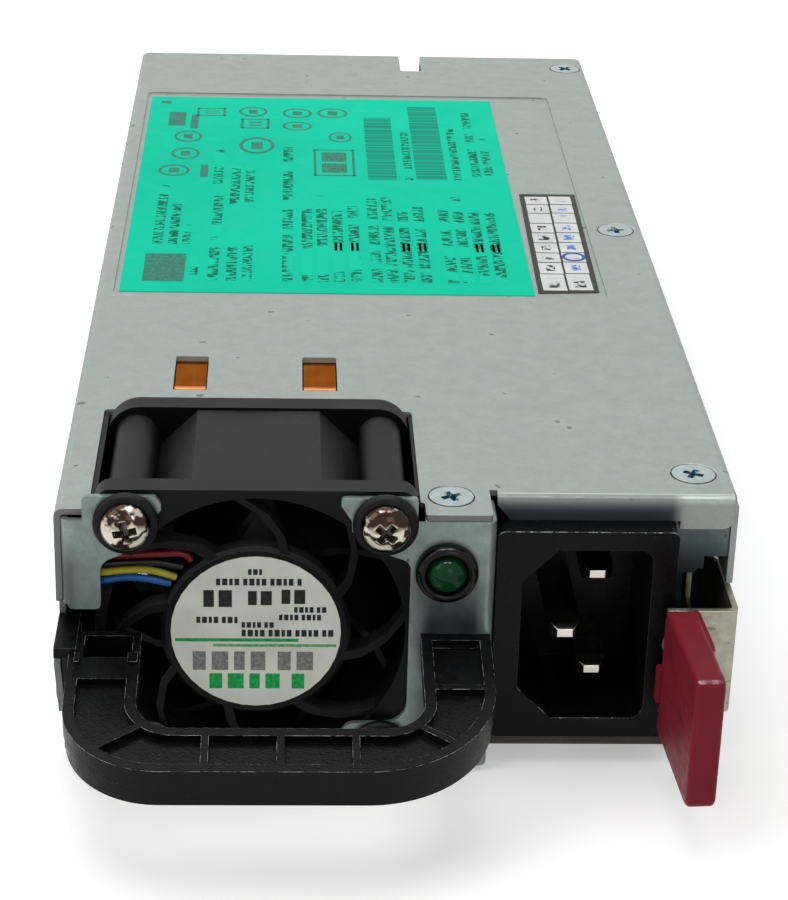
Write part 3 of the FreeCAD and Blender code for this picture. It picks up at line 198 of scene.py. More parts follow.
class Finish(Graph):
    """Writes the nodes of one material."""

    def __init__(self, name, base, rough, metal=0.0, specular=0.5, coat=0.0):
        self.material = bpy.data.materials.new(name)
        self.material.use_nodes = True
        super().__init__(self.material.node_tree)
        self.shader = self.tree.nodes["Principled BSDF"]
        self.colour(base)
        self.set("Roughness", rough)
        self.set("Metallic", metal)
        self.set("Specular IOR Level", specular)
        self.set("Coat Weight", coat)
        self.place = self.add("ShaderNodeTexCoord").outputs["Object"]

    def set(self, socket, value):
        """Feeds one socket of the shader."""
        self.feed(self.shader.inputs[socket], value)

    def mapped(self, scale):
        """Object coordinates, scaled."""
        return self.add("ShaderNodeMapping", {"Scale": scale, "Vector": self.place}).outputs["Vector"]

    def noise(self, scale, detail, rough=0.5, stretch=(1, 1, 1)):
        """Soft random patches, scale of them to the metre."""
        sockets = {"Scale": scale, "Detail": detail, "Roughness": rough, "Vector": self.mapped(stretch)}
        return self.add("ShaderNodeTexNoise", sockets).outputs["Fac"]

    def cells(self, scale, stretch=(1, 1, 1)):
        """Distance to the middle of the nearest of many small cells."""
        sockets = {"Scale": scale, "Vector": self.mapped(stretch)}
        return self.add("ShaderNodeTexVoronoi", sockets).outputs["Distance"]

    def cloud(self, scale, detail, low, high, start=0.0, end=1.0, rough=0.5, stretch=(1, 1, 1)):
        """Noise between two levels, mapped to start..end."""
        return self.ramp(self.noise(scale, detail, rough, stretch), low, high, start, end)

    def product(self, first, *others):
        """Shares multiplied one after another."""
        for other in others:
            first = self.sum("MULTIPLY", first, other)
        return first

    def blend(self, share, first, second):
        """The first colour where share is 0, the second where it is 1."""
        sockets = {0: share, 6: first, 7: second}
        return self.add("ShaderNodeMix", sockets, data_type="RGBA", blend_type="MIX").outputs[2]

    def axes(self, vector=None):
        """x, y and z of the place in metres, or of another vector."""
        return self.add("ShaderNodeSeparateXYZ", {0: vector or self.place}).outputs

    def facing(self):
        """The surface's own direction, as x, y and z from -1 to 1."""
        return self.axes(self.add("ShaderNodeNewGeometry").outputs["Normal"])

    def colour(self, value):
        """The surface's own colour."""
        self.tone = value
        self.set("Base Color", value)

    def lay(self, share, colour, strength=None):
        """Lays a colour over the surface where share is 1, as far as strength says."""
        if strength is not None:
            share = self.product(share, strength)
        self.colour(self.blend(share, self.tone, colour))

    def rough(self, value):
        """The sheen, from 0 for a mirror to 1 for chalk."""
        self.set("Roughness", value)

    def bump(self, height, strength, distance):
        """Fine relief."""
        node = self.add("ShaderNodeBump", {"Strength": strength, "Distance": distance, "Height": height})
        self.set("Normal", node.outputs["Normal"])


def toned(base, level):
    """A colour made lighter or darker."""
    return [min(1.0, channel * level) for channel in base]


def wandering(name, base, rough, low, high, scale, detail=3.0, grain=0.5, edges=(0.3, 0.7), **kinds):
    """A finish whose tone wanders between two levels of its base."""
    g = Finish(name, base, rough, **kinds)
    patches = g.cloud(scale, detail, *edges, rough=grain)
    g.colour(g.blend(patches, toned(base, low), toned(base, high)))
    return g


def plated(name, base, rough, light=1.07, dark=0.91, **kinds):
    """Plated sheet: soft spangle, fine grain and a few small dark specks."""
    g = wandering(name, base, rough, dark, light, 420, 5.0, 0.62, (0.33, 0.67), **kinds)
    g.lay(g.cloud(34, 2.0, 0.3, 0.7), toned(base, 0.93), 0.16)
    g.lay(g.cloud(1900, 2.0, 0.35, 0.65, rough=0.6), toned(base, 0.86), 0.5)
    g.lay(g.cloud(420, 1.0, 0.775, 0.79, rough=0.4), toned(base, 0.18), 0.75)
    g.bump(g.noise(700, 3.0), 0.10, 0.00005)
    return g


def zinc_case():
    """Plated steel of the cover, with a painted highlight and painted shade on its front bend, and painted
    shade on the short lip and the side walls.
    """
    zinc, painted_shade = settings()[0].zinc, settings()[0].zinc_painted_shade
    bend_back, bend_front = -0.0900, -0.0960
    lip_top, lip_under = 0.0366, 0.0352
    lip_left, lip_right = (0.0105, 0.0128), (0.0358, 0.0344)
    g = plated("zinc case", zinc, 0.42, metal=0.30, specular=0.32)
    x, y, z = g.axes()
    toward_side, toward_front = g.facing()[:2]
    # painted highlight: a paler line along the start of the cover's front bend
    rim = g.product(g.ramp(toward_front, -0.03, -0.10), g.ramp(toward_front, -0.30, -0.16))
    g.lay(rim, toned(zinc, 1.6), 0.8)
    # painted shade on the lower part of the front bend
    painted_bend_shade = g.product(g.ramp(toward_front, -0.18, -0.42), g.ramp(y, bend_back, bend_front))
    g.lay(g.product(painted_bend_shade, g.ramp(x, 0.0362, 0.0345, 0.06, 0.85)), toned(zinc, 0.36))
    # painted shade, mottled, on the middle of the short lip
    lip_painted_shade = g.product(g.ramp(toward_front, -0.35, -0.9), g.ramp(z, lip_top, lip_under))
    centre = g.product(g.ramp(x, *lip_right), g.ramp(x, *lip_left), 0.92)
    grain = g.cloud(240, 4.0, 0.3, 0.7, 0.72, 1.0, rough=0.6, stretch=(1, 1, 0.25))
    g.lay(g.product(lip_painted_shade, centre), g.blend(grain, painted_shade, toned(painted_shade, 1.8)))
    # painted shade on the side walls
    g.lay(g.ramp(g.sum("ABSOLUTE", toward_side), 0.45, 0.85, 0.0, 0.35), toned(zinc, 0.40))
    g.rough(g.cloud(300, 3.0, 0.3, 0.7, 0.36, 0.5))
    return g.material


def zinc_front():
    """Plated steel of the front brackets and the tray, with painted shade on the lamp strip, beside and under
    the inlet and on the ear.
    """
    plain, painted_shade = settings()[0].zinc_front, settings()[0].zinc_painted_shade
    strip_left, strip_right = (0.0015, 0.004), (0.0112, 0.0095)
    inlet_left, inlet_right, inlet_foot = (0.0115, 0.0120), (0.0340, 0.0350), (0.0046, 0.0040)
    ear_left, ear_edge = (-0.0370, -0.0395), (-0.0398, -0.0412)
    g = plated("zinc front", plain, 0.36, 1.25, 0.75, metal=0.55, specular=0.45)
    place = g.axes()
    x, z = place["X"], place["Z"]
    # painted shade on the lamp strip, deepening downward
    lamp_strip_painted_shade = g.product(g.ramp(z, 0.034, 0.022), g.ramp(x, *strip_left), g.ramp(x, *strip_right))
    g.lay(lamp_strip_painted_shade, painted_shade, 0.85)
    # painted shade, bluish, on the plate beside the inlet, deepening downward
    painted_shade_beside_inlet = g.product(g.ramp(x, *inlet_right), g.ramp(z, 0.0335, 0.0280, 0.55, 0.97),
                             g.ramp(x, 0.0425, 0.0405, 0.85, 1.0))
    g.lay(painted_shade_beside_inlet, (0.012, 0.028, 0.033))
    # painted shade, brownish, on the strip under the inlet, which also loses most of its metal there
    painted_shade_under_inlet = g.product(g.ramp(x, *inlet_left), g.ramp(z, *inlet_foot))
    g.lay(painted_shade_under_inlet, (0.040, 0.031, 0.021), 0.9)
    # painted shade in patches on the ear, fading out near its top, and darker along its outer edge
    ear = g.product(g.ramp(x, *ear_left), g.cloud(160, 3.0, 0.35, 0.65, 0.05, 0.4))
    g.lay(g.product(ear, g.ramp(z, 0.0345, 0.0300)), toned(plain, 0.45))
    g.lay(g.product(g.ramp(x, *ear_edge), g.ramp(z, 0.0335, 0.0290, 0.0, 0.8)), toned(plain, 0.22))
    g.set("Metallic", g.ramp(painted_shade_under_inlet, 0.0, 1.0, 0.55, 0.06))
    g.rough(g.cloud(300, 3.0, 0.3, 0.7, 0.30, 0.44))
    return g.material


def nickel_strip():
    """Plated spring steel with fine specks and faint rolling lines."""
    base = settings()[0].nickel
    g = wandering("nickel strip", base, 0.36, 0.8, 1.1, 520, 4.0, 0.6, (0.35, 0.65), metal=1.0)
    g.set("Specular Tint", (0.75, 0.72, 0.60))
    g.lay(g.cloud(900, 1.0, 0.67, 0.70), toned(base, 0.35), 0.65)
    lines = g.noise(1500, 2.0, 0.5, (1, 0.03, 1))
    g.rough(g.ramp(lines, 0.3, 0.7, 0.28, 0.46))
    g.bump(lines, 0.08, 0.00004)
    return g.material


def bright_metal(name, base, rough, metal=1.0):
    """Polished or plated small metal parts with fine handling marks."""
    g = wandering(name, base, rough, 0.78, 1.0, 650, 4.0, 0.6, metal=metal)
    g.rough(g.cloud(900, 3.0, 0.3, 0.7, rough * 0.8, rough * 1.5))
    g.bump(g.noise(1200, 3.0), 0.06, 0.00003)
    return g.material


def screw_plate():
    """Bright plated screw heads, with a painted dark reflection, broken by pale painted glints, on their
    upward faces.
    """
    bright = (0.56, 0.51, 0.42)
    g = Finish("bright plate", bright, 0.13, metal=1.0)
    # painted reflection: upward faces darkened as if mirroring a dark room, with pale painted glints in
    # patches
    upward = g.ramp(g.facing()[2], -0.02, 0.22)
    patches = g.cloud(620, 2.0, 0.56, 0.63)
    dark = g.blend(patches, (0.040, 0.026, 0.020), (0.50, 0.44, 0.38))
    g.colour(g.blend(upward, bright, dark))
    g.bump(g.noise(500, 3.0), 0.10, 0.00006)
    return g.material


def contact_plate():
    """Plated blades, bright at their tips, with painted shade deeper in the cavity and on their forward end
    faces.
    """
    tip = (0.58, 0.56, 0.50)
    mouth, depth = -0.0962, -0.0948
    g = Finish("contact plate", tip, 0.24, metal=1.0)
    # painted shade deeper in the cavity and on the end faces that face forward, mottled
    painted_depth_shade = g.ramp(g.axes()[1], mouth, depth, 0.0, 0.985)
    end_faces_painted_shade = g.ramp(g.facing()[1], -0.9, -0.6, 0.0, 0.55)
    painted_shade = g.cloud(900, 3.0, 0.35, 0.65, 0.75, 1.0, rough=0.6)
    g.lay(g.product(g.sum("MAXIMUM", painted_depth_shade, end_faces_painted_shade), painted_shade), (0.012, 0.012, 0.010))
    return g.material


def copper_strip():
    """Rolled copper alloy with faint rolling lines."""
    g = wandering("copper strip", settings()[0].copper, 0.34, 0.82, 1.12, 300, 4.0, metal=1.0)
    g.set("Specular Tint", (0.80, 0.46, 0.24))
    g.rough(g.cloud(1200, 2.0, 0.3, 0.7, 0.26, 0.42, stretch=(1, 0.05, 1)))
    return g.material


def black_moulding(name="black moulding", rough=0.36, grain=0.42):
    """Black moulded plastic with a fine spark-eroded texture and a faint sheen."""
    base = settings()[0].moulding
    g = wandering(name, base, rough, 0.7, 1.6, 260, 4.0, 0.6, specular=0.10)
    g.lay(g.cloud(1700, 2.0, 0.69, 0.73), toned(base, 16), 0.30)
    g.rough(g.cloud(900, 3.0, 0.3, 0.7, rough * 0.8, rough * 1.2))
    g.bump(g.cells(2600), grain, 0.00006)
    return g.material


def painted_glint_edge(name, light=0.75, low=0.43, high=0.56):
    """Rounded edges of black mouldings: polished, lighter, with a broken pale painted highlight on their
    upward faces.
    """
    g = Finish(name, toned(settings()[0].moulding, 2), 0.20, specular=0.20)
    up = g.ramp(g.facing()[2], 0.15, 0.60)
    broken = g.cloud(750, 4.0, low, high, rough=0.65)
    # painted highlight: broken pale glints on upward-facing rounded edges
    g.lay(g.product(broken, up), (light, light * 1.03, light * 1.04), 0.85)
    return g.material


def gloss_black():
    """Polished black plastic of the lamp's bezel."""
    g = wandering("gloss black", settings()[0].moulding, 0.16, 1.0, 1.6, 400, specular=0.16)
    g.rough(g.cloud(500, 3.0, 0.3, 0.7, 0.12, 0.24))
    return g.material


def rubber_black():
    """Dull black rubber with a little bloom."""
    g = Finish("black rubber", (0.003, 0.003, 0.003), 0.5, specular=0.14)
    bloom = g.cloud(500, 4.0, 0.4, 0.7)
    g.colour(g.blend(bloom, (0.0022, 0.0022, 0.0024), (0.007, 0.007, 0.0075)))
    g.bump(g.noise(1400, 3.0), 0.25, 0.00005)
    return g.material


def fan_plastic(name, dusty):
    """Black fan plastic under uneven dust that lies thicker on upward faces."""
    g = Finish(name, settings()[0].fan, 0.45, specular=0.11)
    up = g.ramp(g.facing()[2], 0.35, 0.95)
    film = g.cloud(95, 5.0, 0.32, 0.68, 0.3, 1.0, rough=0.6, stretch=(1.0, 0.55, 1.0))
    grit = g.cloud(1700, 3.0, 0.42, 0.66, 0.65, 1.0, rough=0.6)
    share = g.product(up, film, g.product(grit, dusty))
    g.lay(share, settings()[0].dust)
    g.rough(g.ramp(share, 0.0, 0.6, 0.36, 0.62))
    g.bump(g.noise(1500, 3.0), 0.15, 0.00005)
    return g.material


def lever_plastic():
    """Dark red moulded plastic with a satin surface, pale scuffs and a painted highlight along its nose."""
    g = wandering("dark red plastic", settings()[0].lever, 0.33, 0.86, 1.15, 140, 4.0, 0.55, specular=0.07)
    g.lay(g.cloud(420, 3.0, 0.70, 0.76, rough=0.6), (0.32, 0.08, 0.10), 0.25)
    toward_front, up = g.facing()[1:3]
    # painted highlight along the upper front of the lever's nose
    nose = g.product(g.ramp(toward_front, -0.45, -0.55), g.ramp(up, 0.62, 0.72))
    g.lay(g.product(nose, g.cloud(900, 3.0, 0.42, 0.54, 0.1, 0.6, rough=0.6)), (0.80, 0.50, 0.52))
    g.rough(g.cloud(700, 3.0, 0.3, 0.7, 0.32, 0.48))
    g.bump(g.cells(2300), 0.12, 0.00005)
    return g.material


def lamp_plastic():
    """Translucent dark green lens."""
    base = settings()[0].lamp
    g = wandering("green lamp", base, 0.12, 0.95, 1.25, 700, 2.0, specular=0.03, coat=0.16)
    g.set("Coat Roughness", 0.03)
    g.set("Subsurface Weight", 0.25)
    g.set("Subsurface Radius", (0.0006, 0.0012, 0.0008))
    g.set("Subsurface Scale", 1.0)
    return g.material


def film_base():
    """Turquoise film of the rating label, a little uneven."""
    base = settings()[0].film
    g = wandering("label film", base, 0.5, 0.92, 1.06, 22, 2.0, specular=0.02)
    g.lay(g.cloud(900, 2.0, 0.35, 0.65), toned(base, 0.8), 0.10)
    g.rough(g.cloud(300, 2.0, 0.3, 0.7, 0.45, 0.6))
    return g.material


def ink(name, base):
    """Printed ink with slightly broken coverage."""
    g = Finish(name, base, 0.4, specular=0.1)
    cover = g.cloud(2200, 2.0, 0.35, 0.6)
    g.colour(g.blend(cover, [min(1.0, c * 1.6 + 0.004) for c in base], base))
    return g.material


def typed(name, ground, mark, across, along):
    """Rows of small broken strokes on a ground, like print too small to read; strokes per metre."""
    g = Finish(name, ground, 0.5, specular=0.02)
    strokes = g.cloud(1.0, 1.0, 0.45, 0.53, stretch=(across, along, 1))
    words = g.cloud(1.0, 0.0, 0.40, 0.43, stretch=(60, 150, 1))
    g.lay(g.product(strokes, words), mark)
    return g.material


def bar_code(name, ground, mark):
    """Fine bars of uneven width across the label's length."""
    g = Finish(name, ground, 0.5, specular=0.02)
    bars = g.cloud(1.0, 1.0, 0.44, 0.54, rough=0.6, stretch=(1, 1500, 1))
    g.lay(g.ramp(bars, 0.0, 1.0, 0.35, 0.95), mark)
    return g.material


def paper(name, base):
    """Printed paper or film, slightly grey."""
    g = wandering(name, base, 0.5, 0.9, 1.08, 180, specular=0.15)
    g.bump(g.noise(1600, 2.0), 0.05, 0.00003)
    return g.material


def sleeve(name, base, rough):
    """Coloured insulation, shrink sleeve, tape or case of an inner part."""
    g = wandering(name, base, rough, 0.8, 1.2, 420, specular=0.25)
    g.rough(g.cloud(600, 2.0, 0.3, 0.7, rough * 0.8, min(1.0, rough * 1.25)))
    return g.material


def painted_glints(name, base, glint, start=0.55):
    """Small plated surfaces with painted glints against a dark tone."""
    g = Finish(name, base, 0.25, metal=0.3)
    # painted glints: small pale spots
    g.lay(g.cloud(1300, 2.0, start, start + 0.05, rough=0.6), glint)
    return g.material


def wound_copper():
    """Enamelled winding wire, seen as close parallel turns."""
    g = Finish("winding copper", (0.55, 0.20, 0.06), 0.3, metal=0.8)
    turns = g.cells(900, stretch=(1, 0.1, 1))
    g.colour(g.blend(g.ramp(turns, 0.2, 0.7), (0.30, 0.09, 0.03), (0.62, 0.25, 0.09)))
    g.bump(turns, 0.4, 0.0002)
    return g.material


def board_mask():
    """Green solder mask with faint tracks below it."""
    g = Finish("solder mask", (0.01, 0.09, 0.03), 0.3, coat=0.3)
    tracks = g.ramp(g.cells(260, stretch=(1, 0.35, 1)), 0.30, 0.36)
    g.colour(g.blend(tracks, (0.012, 0.14, 0.045), (0.008, 0.07, 0.025)))
    return g.material


MAKERS = {
    "zinc": zinc_case,
    "front": zinc_front,
    "nickel": nickel_strip,
    "copper": copper_strip,
    "moulding": black_moulding,
    "moulding_edge": lambda: painted_glint_edge("moulding edge"),
    "inlet": lambda: black_moulding("inlet moulding", 0.30, 0.14),
    "inlet_edge": lambda: painted_glint_edge("inlet edge", 0.55, 0.50, 0.62),
    "gloss": gloss_black,
    "rubber": rubber_black,
    "fan": lambda: fan_plastic("fan plastic", 1.0),
    "fan_edge": lambda: painted_glint_edge("fan edge", 0.10, 0.44, 0.62),
    "rotor": lambda: fan_plastic("rotor plastic", 0.10),
    "lever": lever_plastic,
    "lamp": lamp_plastic,
    "film": film_base,
    "film_ink": lambda: ink("rating ink", settings()[0].film_ink),
    "black_ink": lambda: ink("black ink", (0.02, 0.02, 0.02)),
    "grey_ink": lambda: ink("grey ink", (0.16, 0.16, 0.15)),
    "green_ink": lambda: ink("green ink", settings()[0].green_ink),
    "pale_green_ink": lambda: ink("pale green ink", (0.10, 0.32, 0.12)),
    "blue_ink": lambda: ink("blue ink", (0.02, 0.06, 0.30)),
    "paper": lambda: paper("printed paper", settings()[0].paper),
    "cells": lambda: paper("date paper", (0.60, 0.63, 0.62)),
    "date_edge": lambda: ink("date border", (0.018, 0.017, 0.013)),
    "cell_typed": lambda: typed("date print", (0.58, 0.61, 0.60), (0.05, 0.05, 0.05), 1100, 900),
    "cell_blue": lambda: typed("date blue print", (0.58, 0.61, 0.60), (0.10, 0.20, 0.52), 1100, 900),
    "film_typed": lambda: typed("rating print", settings()[0].film, settings()[0].film_ink, 700, 1500),
    "film_bars": lambda: bar_code("rating bars", settings()[0].film, (0.008, 0.20, 0.15)),
    "chrome": screw_plate,
    # painted shade in the fan screws' recesses, dark brown, with painted glints
    "cross": lambda: painted_glints("screw cross", (0.045, 0.026, 0.016), (0.50, 0.44, 0.36), 0.62),
    "screw_head": lambda: bright_metal("screw head", (0.40, 0.47, 0.46), 0.34, 0.45),
    # teal recess tone of the cover screws, with painted glints
    "screw_recess": lambda: painted_glints("screw recess", (0.010, 0.095, 0.16), (0.55, 0.62, 0.62)),
    # painted shade on the cover screws' outer rim, standing for the gap around the head
    "screw_rim_painted_shade": lambda: sleeve("screw rim painted shade", (0.035, 0.045, 0.045), 0.5),
    "dark_rivet": lambda: bright_metal("dark rivet", (0.08, 0.085, 0.085), 0.35, 0.6),
    "zinc_screw": lambda: bright_metal("zinc screw", (0.42, 0.50, 0.53), 0.28, 0.8),
    "contact": contact_plate,
    "gold": lambda: bright_metal("gold plate", (0.80, 0.55, 0.22), 0.22),
    "brass": lambda: bright_metal("turned brass", (0.70, 0.52, 0.24), 0.28),
    "laminations": lambda: bright_metal("steel laminations", (0.20, 0.20, 0.21), 0.45),
    "aluminium": lambda: bright_metal("extruded aluminium", (0.62, 0.63, 0.64), 0.38),
    "copper_wire": wound_copper,
    "board": board_mask,
    "red": lambda: sleeve("red insulation", (0.13, 0.004, 0.008), 0.32),
    "black": lambda: sleeve("black insulation", (0.003, 0.003, 0.003), 0.32),
    "yellow": lambda: sleeve("yellow insulation", (0.36, 0.31, 0.02), 0.32),
    "blue": lambda: sleeve("blue insulation", (0.008, 0.08, 0.27), 0.32),
    "connector": lambda: sleeve("connector nylon", (0.60, 0.58, 0.50), 0.45),
    "clear_sheet": lambda: sleeve("insulating sheet", (0.45, 0.45, 0.38), 0.5),
    "can": lambda: sleeve("capacitor sleeve", (0.02, 0.022, 0.04), 0.25),
    "epoxy": lambda: sleeve("moulded epoxy", (0.015, 0.015, 0.015), 0.5),
    "ferrite": lambda: sleeve("ground ferrite", (0.035, 0.035, 0.038), 0.5),
    "tape": lambda: sleeve("winding tape", (0.60, 0.40, 0.03), 0.25),
    "relay": lambda: sleeve("relay case", (0.02, 0.06, 0.24), 0.4),
}
FINISHES = {}


def finish(name):
    """The named material, made on first use."""
    if name not in FINISHES:
        FINISHES[name] = MAKERS[name]()
    return FINISHES[name]


def coat(look, *names):
    """Gives nodes of the frame a finish."""
    for name in names:
        slots = NODES[name].data.materials
        if len(slots) == 0:
            slots.append(finish(look))
        for index in range(len(slots)):
            slots[index] = finish(look)


# ---------------------------------------------------------------- modelling helpers
def clear_selection():
    """Leaves edit mode and deselects everything."""
    if bpy.context.object and bpy.context.object.mode != "OBJECT":
        bpy.ops.object.mode_set(mode="OBJECT")
    bpy.ops.object.select_all(action="DESELECT")


def take(piece):
    """Makes one object the only selected and active one."""
    clear_selection()
    piece.select_set(True)
    bpy.context.view_layer.objects.active = piece


def fix_place(piece):
    """Makes a piece's place, turn and scale part of its mesh."""
    take(piece)
    bpy.ops.object.transform_apply(location=True, rotation=True, scale=True)


def edit_all(piece):
    """Opens a piece in edit mode with all of it selected."""
    take(piece)
    bpy.ops.object.mode_set(mode="EDIT")
    bpy.ops.mesh.select_all(action="SELECT")


def settle(piece, name, look, body="case", smooth=30.0):
    """Applies the place, smooths, names, finishes and attaches a piece."""
    fix_place(piece)
    bpy.ops.object.shade_smooth_by_angle(angle=math.radians(smooth))
    piece.name = name
    piece.data.materials.clear()
    piece.data.materials.append(finish(look))
    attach(piece, body)
    return piece


def apply_modifier(piece, kind, **values):
    """Adds one modifier, sets it and applies it."""
    take(piece)
    modifier = piece.modifiers.new(kind.title(), kind)
    for key, value in values.items():
        setattr(modifier, key, value)
    bpy.ops.object.modifier_apply(modifier=modifier.name)


def eased_copy(node, width):
    """A merged copy of a node whose sharp edges are rounded a little, in its second material."""
    take(NODES[node])
    bpy.ops.object.duplicate()
    piece = bpy.context.object
    piece.parent = None
    for key in list(piece.keys()):
        del piece[key]
    edit_all(piece)
    bpy.ops.mesh.remove_doubles(threshold=0.002 * MM)
    bpy.ops.mesh.dissolve_limited(angle_limit=math.radians(FLAT_ANGLE))
    bpy.ops.object.mode_set(mode="OBJECT")
    piece.data.materials.clear()
    for _ in range(2):  # one place for the faces, one for the rounded edges
        piece.data.materials.append(None)
    for face in piece.data.polygons:
        face.material_index = 0
    apply_modifier(piece, "BEVEL", width=width, segments=2, limit_method="ANGLE", material=1,
                   angle_limit=math.radians(EASE_ANGLE), use_clamp_overlap=True, harden_normals=False)
    return piece


def keep_outer_edges(piece):
    """Leaves the second material only on rounded edges that stand out."""
    standing_out = -0.02
    mesh = bmesh.new()
    mesh.from_mesh(piece.data)
    inner = []
    for face in mesh.faces:
        if face.material_index == 0:
            continue
        centre = face.calc_center_median()
        rise = sum((other.calc_center_median() - centre).normalized().dot(face.normal)
                   for edge in face.edges for other in edge.link_faces if other is not face)
        if rise > standing_out:
            inner.append(face)
    for face in inner:
        face.material_index = 0
    mesh.to_mesh(piece.data)
    mesh.free()


def dress(node, look, width, body="case", edge=None):
    """Replaces a node by its eased copy in a finish, and its outer edges in another."""
    piece = eased_copy(node, width)
    if edge:
        keep_outer_edges(piece)
    marked = [face.material_index for face in piece.data.polygons]
    name = "pull-handle" if node == "handle" else node.replace("_", "-")
    settle(piece, name, look, body, EASE_ANGLE + 4.0)
    if edge:
        piece.data.materials.append(finish(edge))
        for face, index in zip(piece.data.polygons, marked):
            face.material_index = index
    apply_modifier(piece, "WEIGHTED_NORMAL", keep_sharp=True)
    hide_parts(node)
    return piece


def select_where(piece, kind, wanted):
    """Selects the faces, edges or vertices for which wanted(element) is true, ready for edit mode."""
    take(piece)
    bpy.ops.object.mode_set(mode="EDIT")
    bpy.ops.mesh.select_mode(type=kind)
    bpy.ops.mesh.select_all(action="DESELECT")
    bpy.ops.object.mode_set(mode="OBJECT")
    mesh = piece.data
    for element in {"FACE": mesh.polygons, "EDGE": mesh.edges, "VERT": mesh.vertices}[kind]:
        element.select = bool(wanted(element))
    bpy.ops.object.mode_set(mode="EDIT")


def turned_piece(profile, centre, axis, steps=48):
    """A closed turned form: (radius, along) pairs in mm, spun about an axis through centre."""
    clear_selection()
    bpy.ops.mesh.primitive_plane_add(size=1)
    piece = bpy.context.object
    mesh = bmesh.new()
    points = [mesh.verts.new((radius * MM, 0, along * MM)) for radius, along in profile]
    for first, second in zip(points, points[1:]):
        mesh.edges.new((first, second))
    mesh.to_mesh(piece.data)
    mesh.free()
    edit_all(piece)
    bpy.ops.mesh.spin(steps=steps, angle=2 * math.pi, center=(0, 0, 0), axis=(0, 0, 1))
    bpy.ops.mesh.select_all(action="SELECT")
    bpy.ops.mesh.remove_doubles(threshold=0.003 * MM)
    bpy.ops.mesh.normals_make_consistent(inside=False)
    bpy.ops.object.mode_set(mode="OBJECT")
    piece.rotation_mode = "QUATERNION"
    piece.rotation_quaternion = Vector((0, 0, 1)).rotation_difference(Vector(axis))
    piece.location = centre
    return piece


def round_lead(route, radius):
    """A smooth round lead through points in mm."""
    clear_selection()
    bpy.ops.curve.primitive_bezier_curve_add()
    lead = bpy.context.object
    lead.data.splines.clear()
    spline = lead.data.splines.new("BEZIER")
    spline.bezier_points.add(len(route) - 1)
    for knot, point in zip(spline.bezier_points, route):
        knot.co = Vector(point) * MM
        knot.handle_left_type = knot.handle_right_type = "AUTO"
    lead.data.resolution_u = 8
    lead.data.bevel_depth = radius
    lead.data.bevel_resolution = 5
    lead.data.use_fill_caps = True
    bpy.ops.object.convert(target="MESH")
    return bpy.context.object


def block(low, high):
    """A box between two corners, made from a cube."""
    clear_selection()
    low, high = Vector(low), Vector(high)
    bpy.ops.mesh.primitive_cube_add(size=1, location=(low + high) / 2)
    piece = bpy.context.object
    piece.scale = high - low
    fix_place(piece)
    return piece


def joined(pieces):
    """All the pieces as one object."""
    clear_selection()
    for piece in pieces:
        piece.select_set(True)
    bpy.context.view_layer.objects.active = pieces[0]
    bpy.ops.object.join()
    return pieces[0]


def combine(piece, tool, operation):
    """Cuts a piece with a tool, adds it or keeps what they share, and removes the tool."""
    apply_modifier(piece, "BOOLEAN", operation=operation, solver="EXACT", object=tool)
    bpy.data.objects.remove(tool)


def cross_tool(width, depth, arm):
    """A tapered cross that is wide at the top, pointing down along Z from 0."""
    proud, taper = 2.0 * MM, 0.42
    tool = block((-arm / 2, -arm / 2, -depth), (arm / 2, arm / 2, proud))
    select_where(tool, "FACE", lambda face: abs(face.normal.z) < 0.5)
    bpy.ops.mesh.extrude_faces_move(TRANSFORM_OT_shrink_fatten={"value": (width - arm) / 2})
    select_where(tool, "VERT", lambda vertex: vertex.co.z < 0)
    bpy.ops.transform.resize(value=(taper, taper, 1), center_override=(0, 0, 0))
    bpy.ops.object.mode_set(mode="OBJECT")
    return tool


def drive_recess(piece, centre, axis, width, depth, arm, turn):
    """Cuts a cross recess into a screw's head."""
    tool = cross_tool(width, depth, arm)
    tool.rotation_mode = "QUATERNION"
    aim = Vector((0, 0, 1)).rotation_difference(Vector(axis))
    tool.rotation_quaternion = aim @ Matrix.Rotation(math.radians(turn), 3, "Z").to_quaternion()
    tool.location = centre
    bpy.context.view_layer.update()
    combine(piece, tool, "DIFFERENCE")


# ---------------------------------------------------------------- base of the operators
class Maker:
    """What the operators share."""

    bl_options = {"REGISTER", "UNDO"}

    def execute(self, context):
        clear_selection()
        self.make(*settings())
        clear_selection()
        return {"FINISHED"}


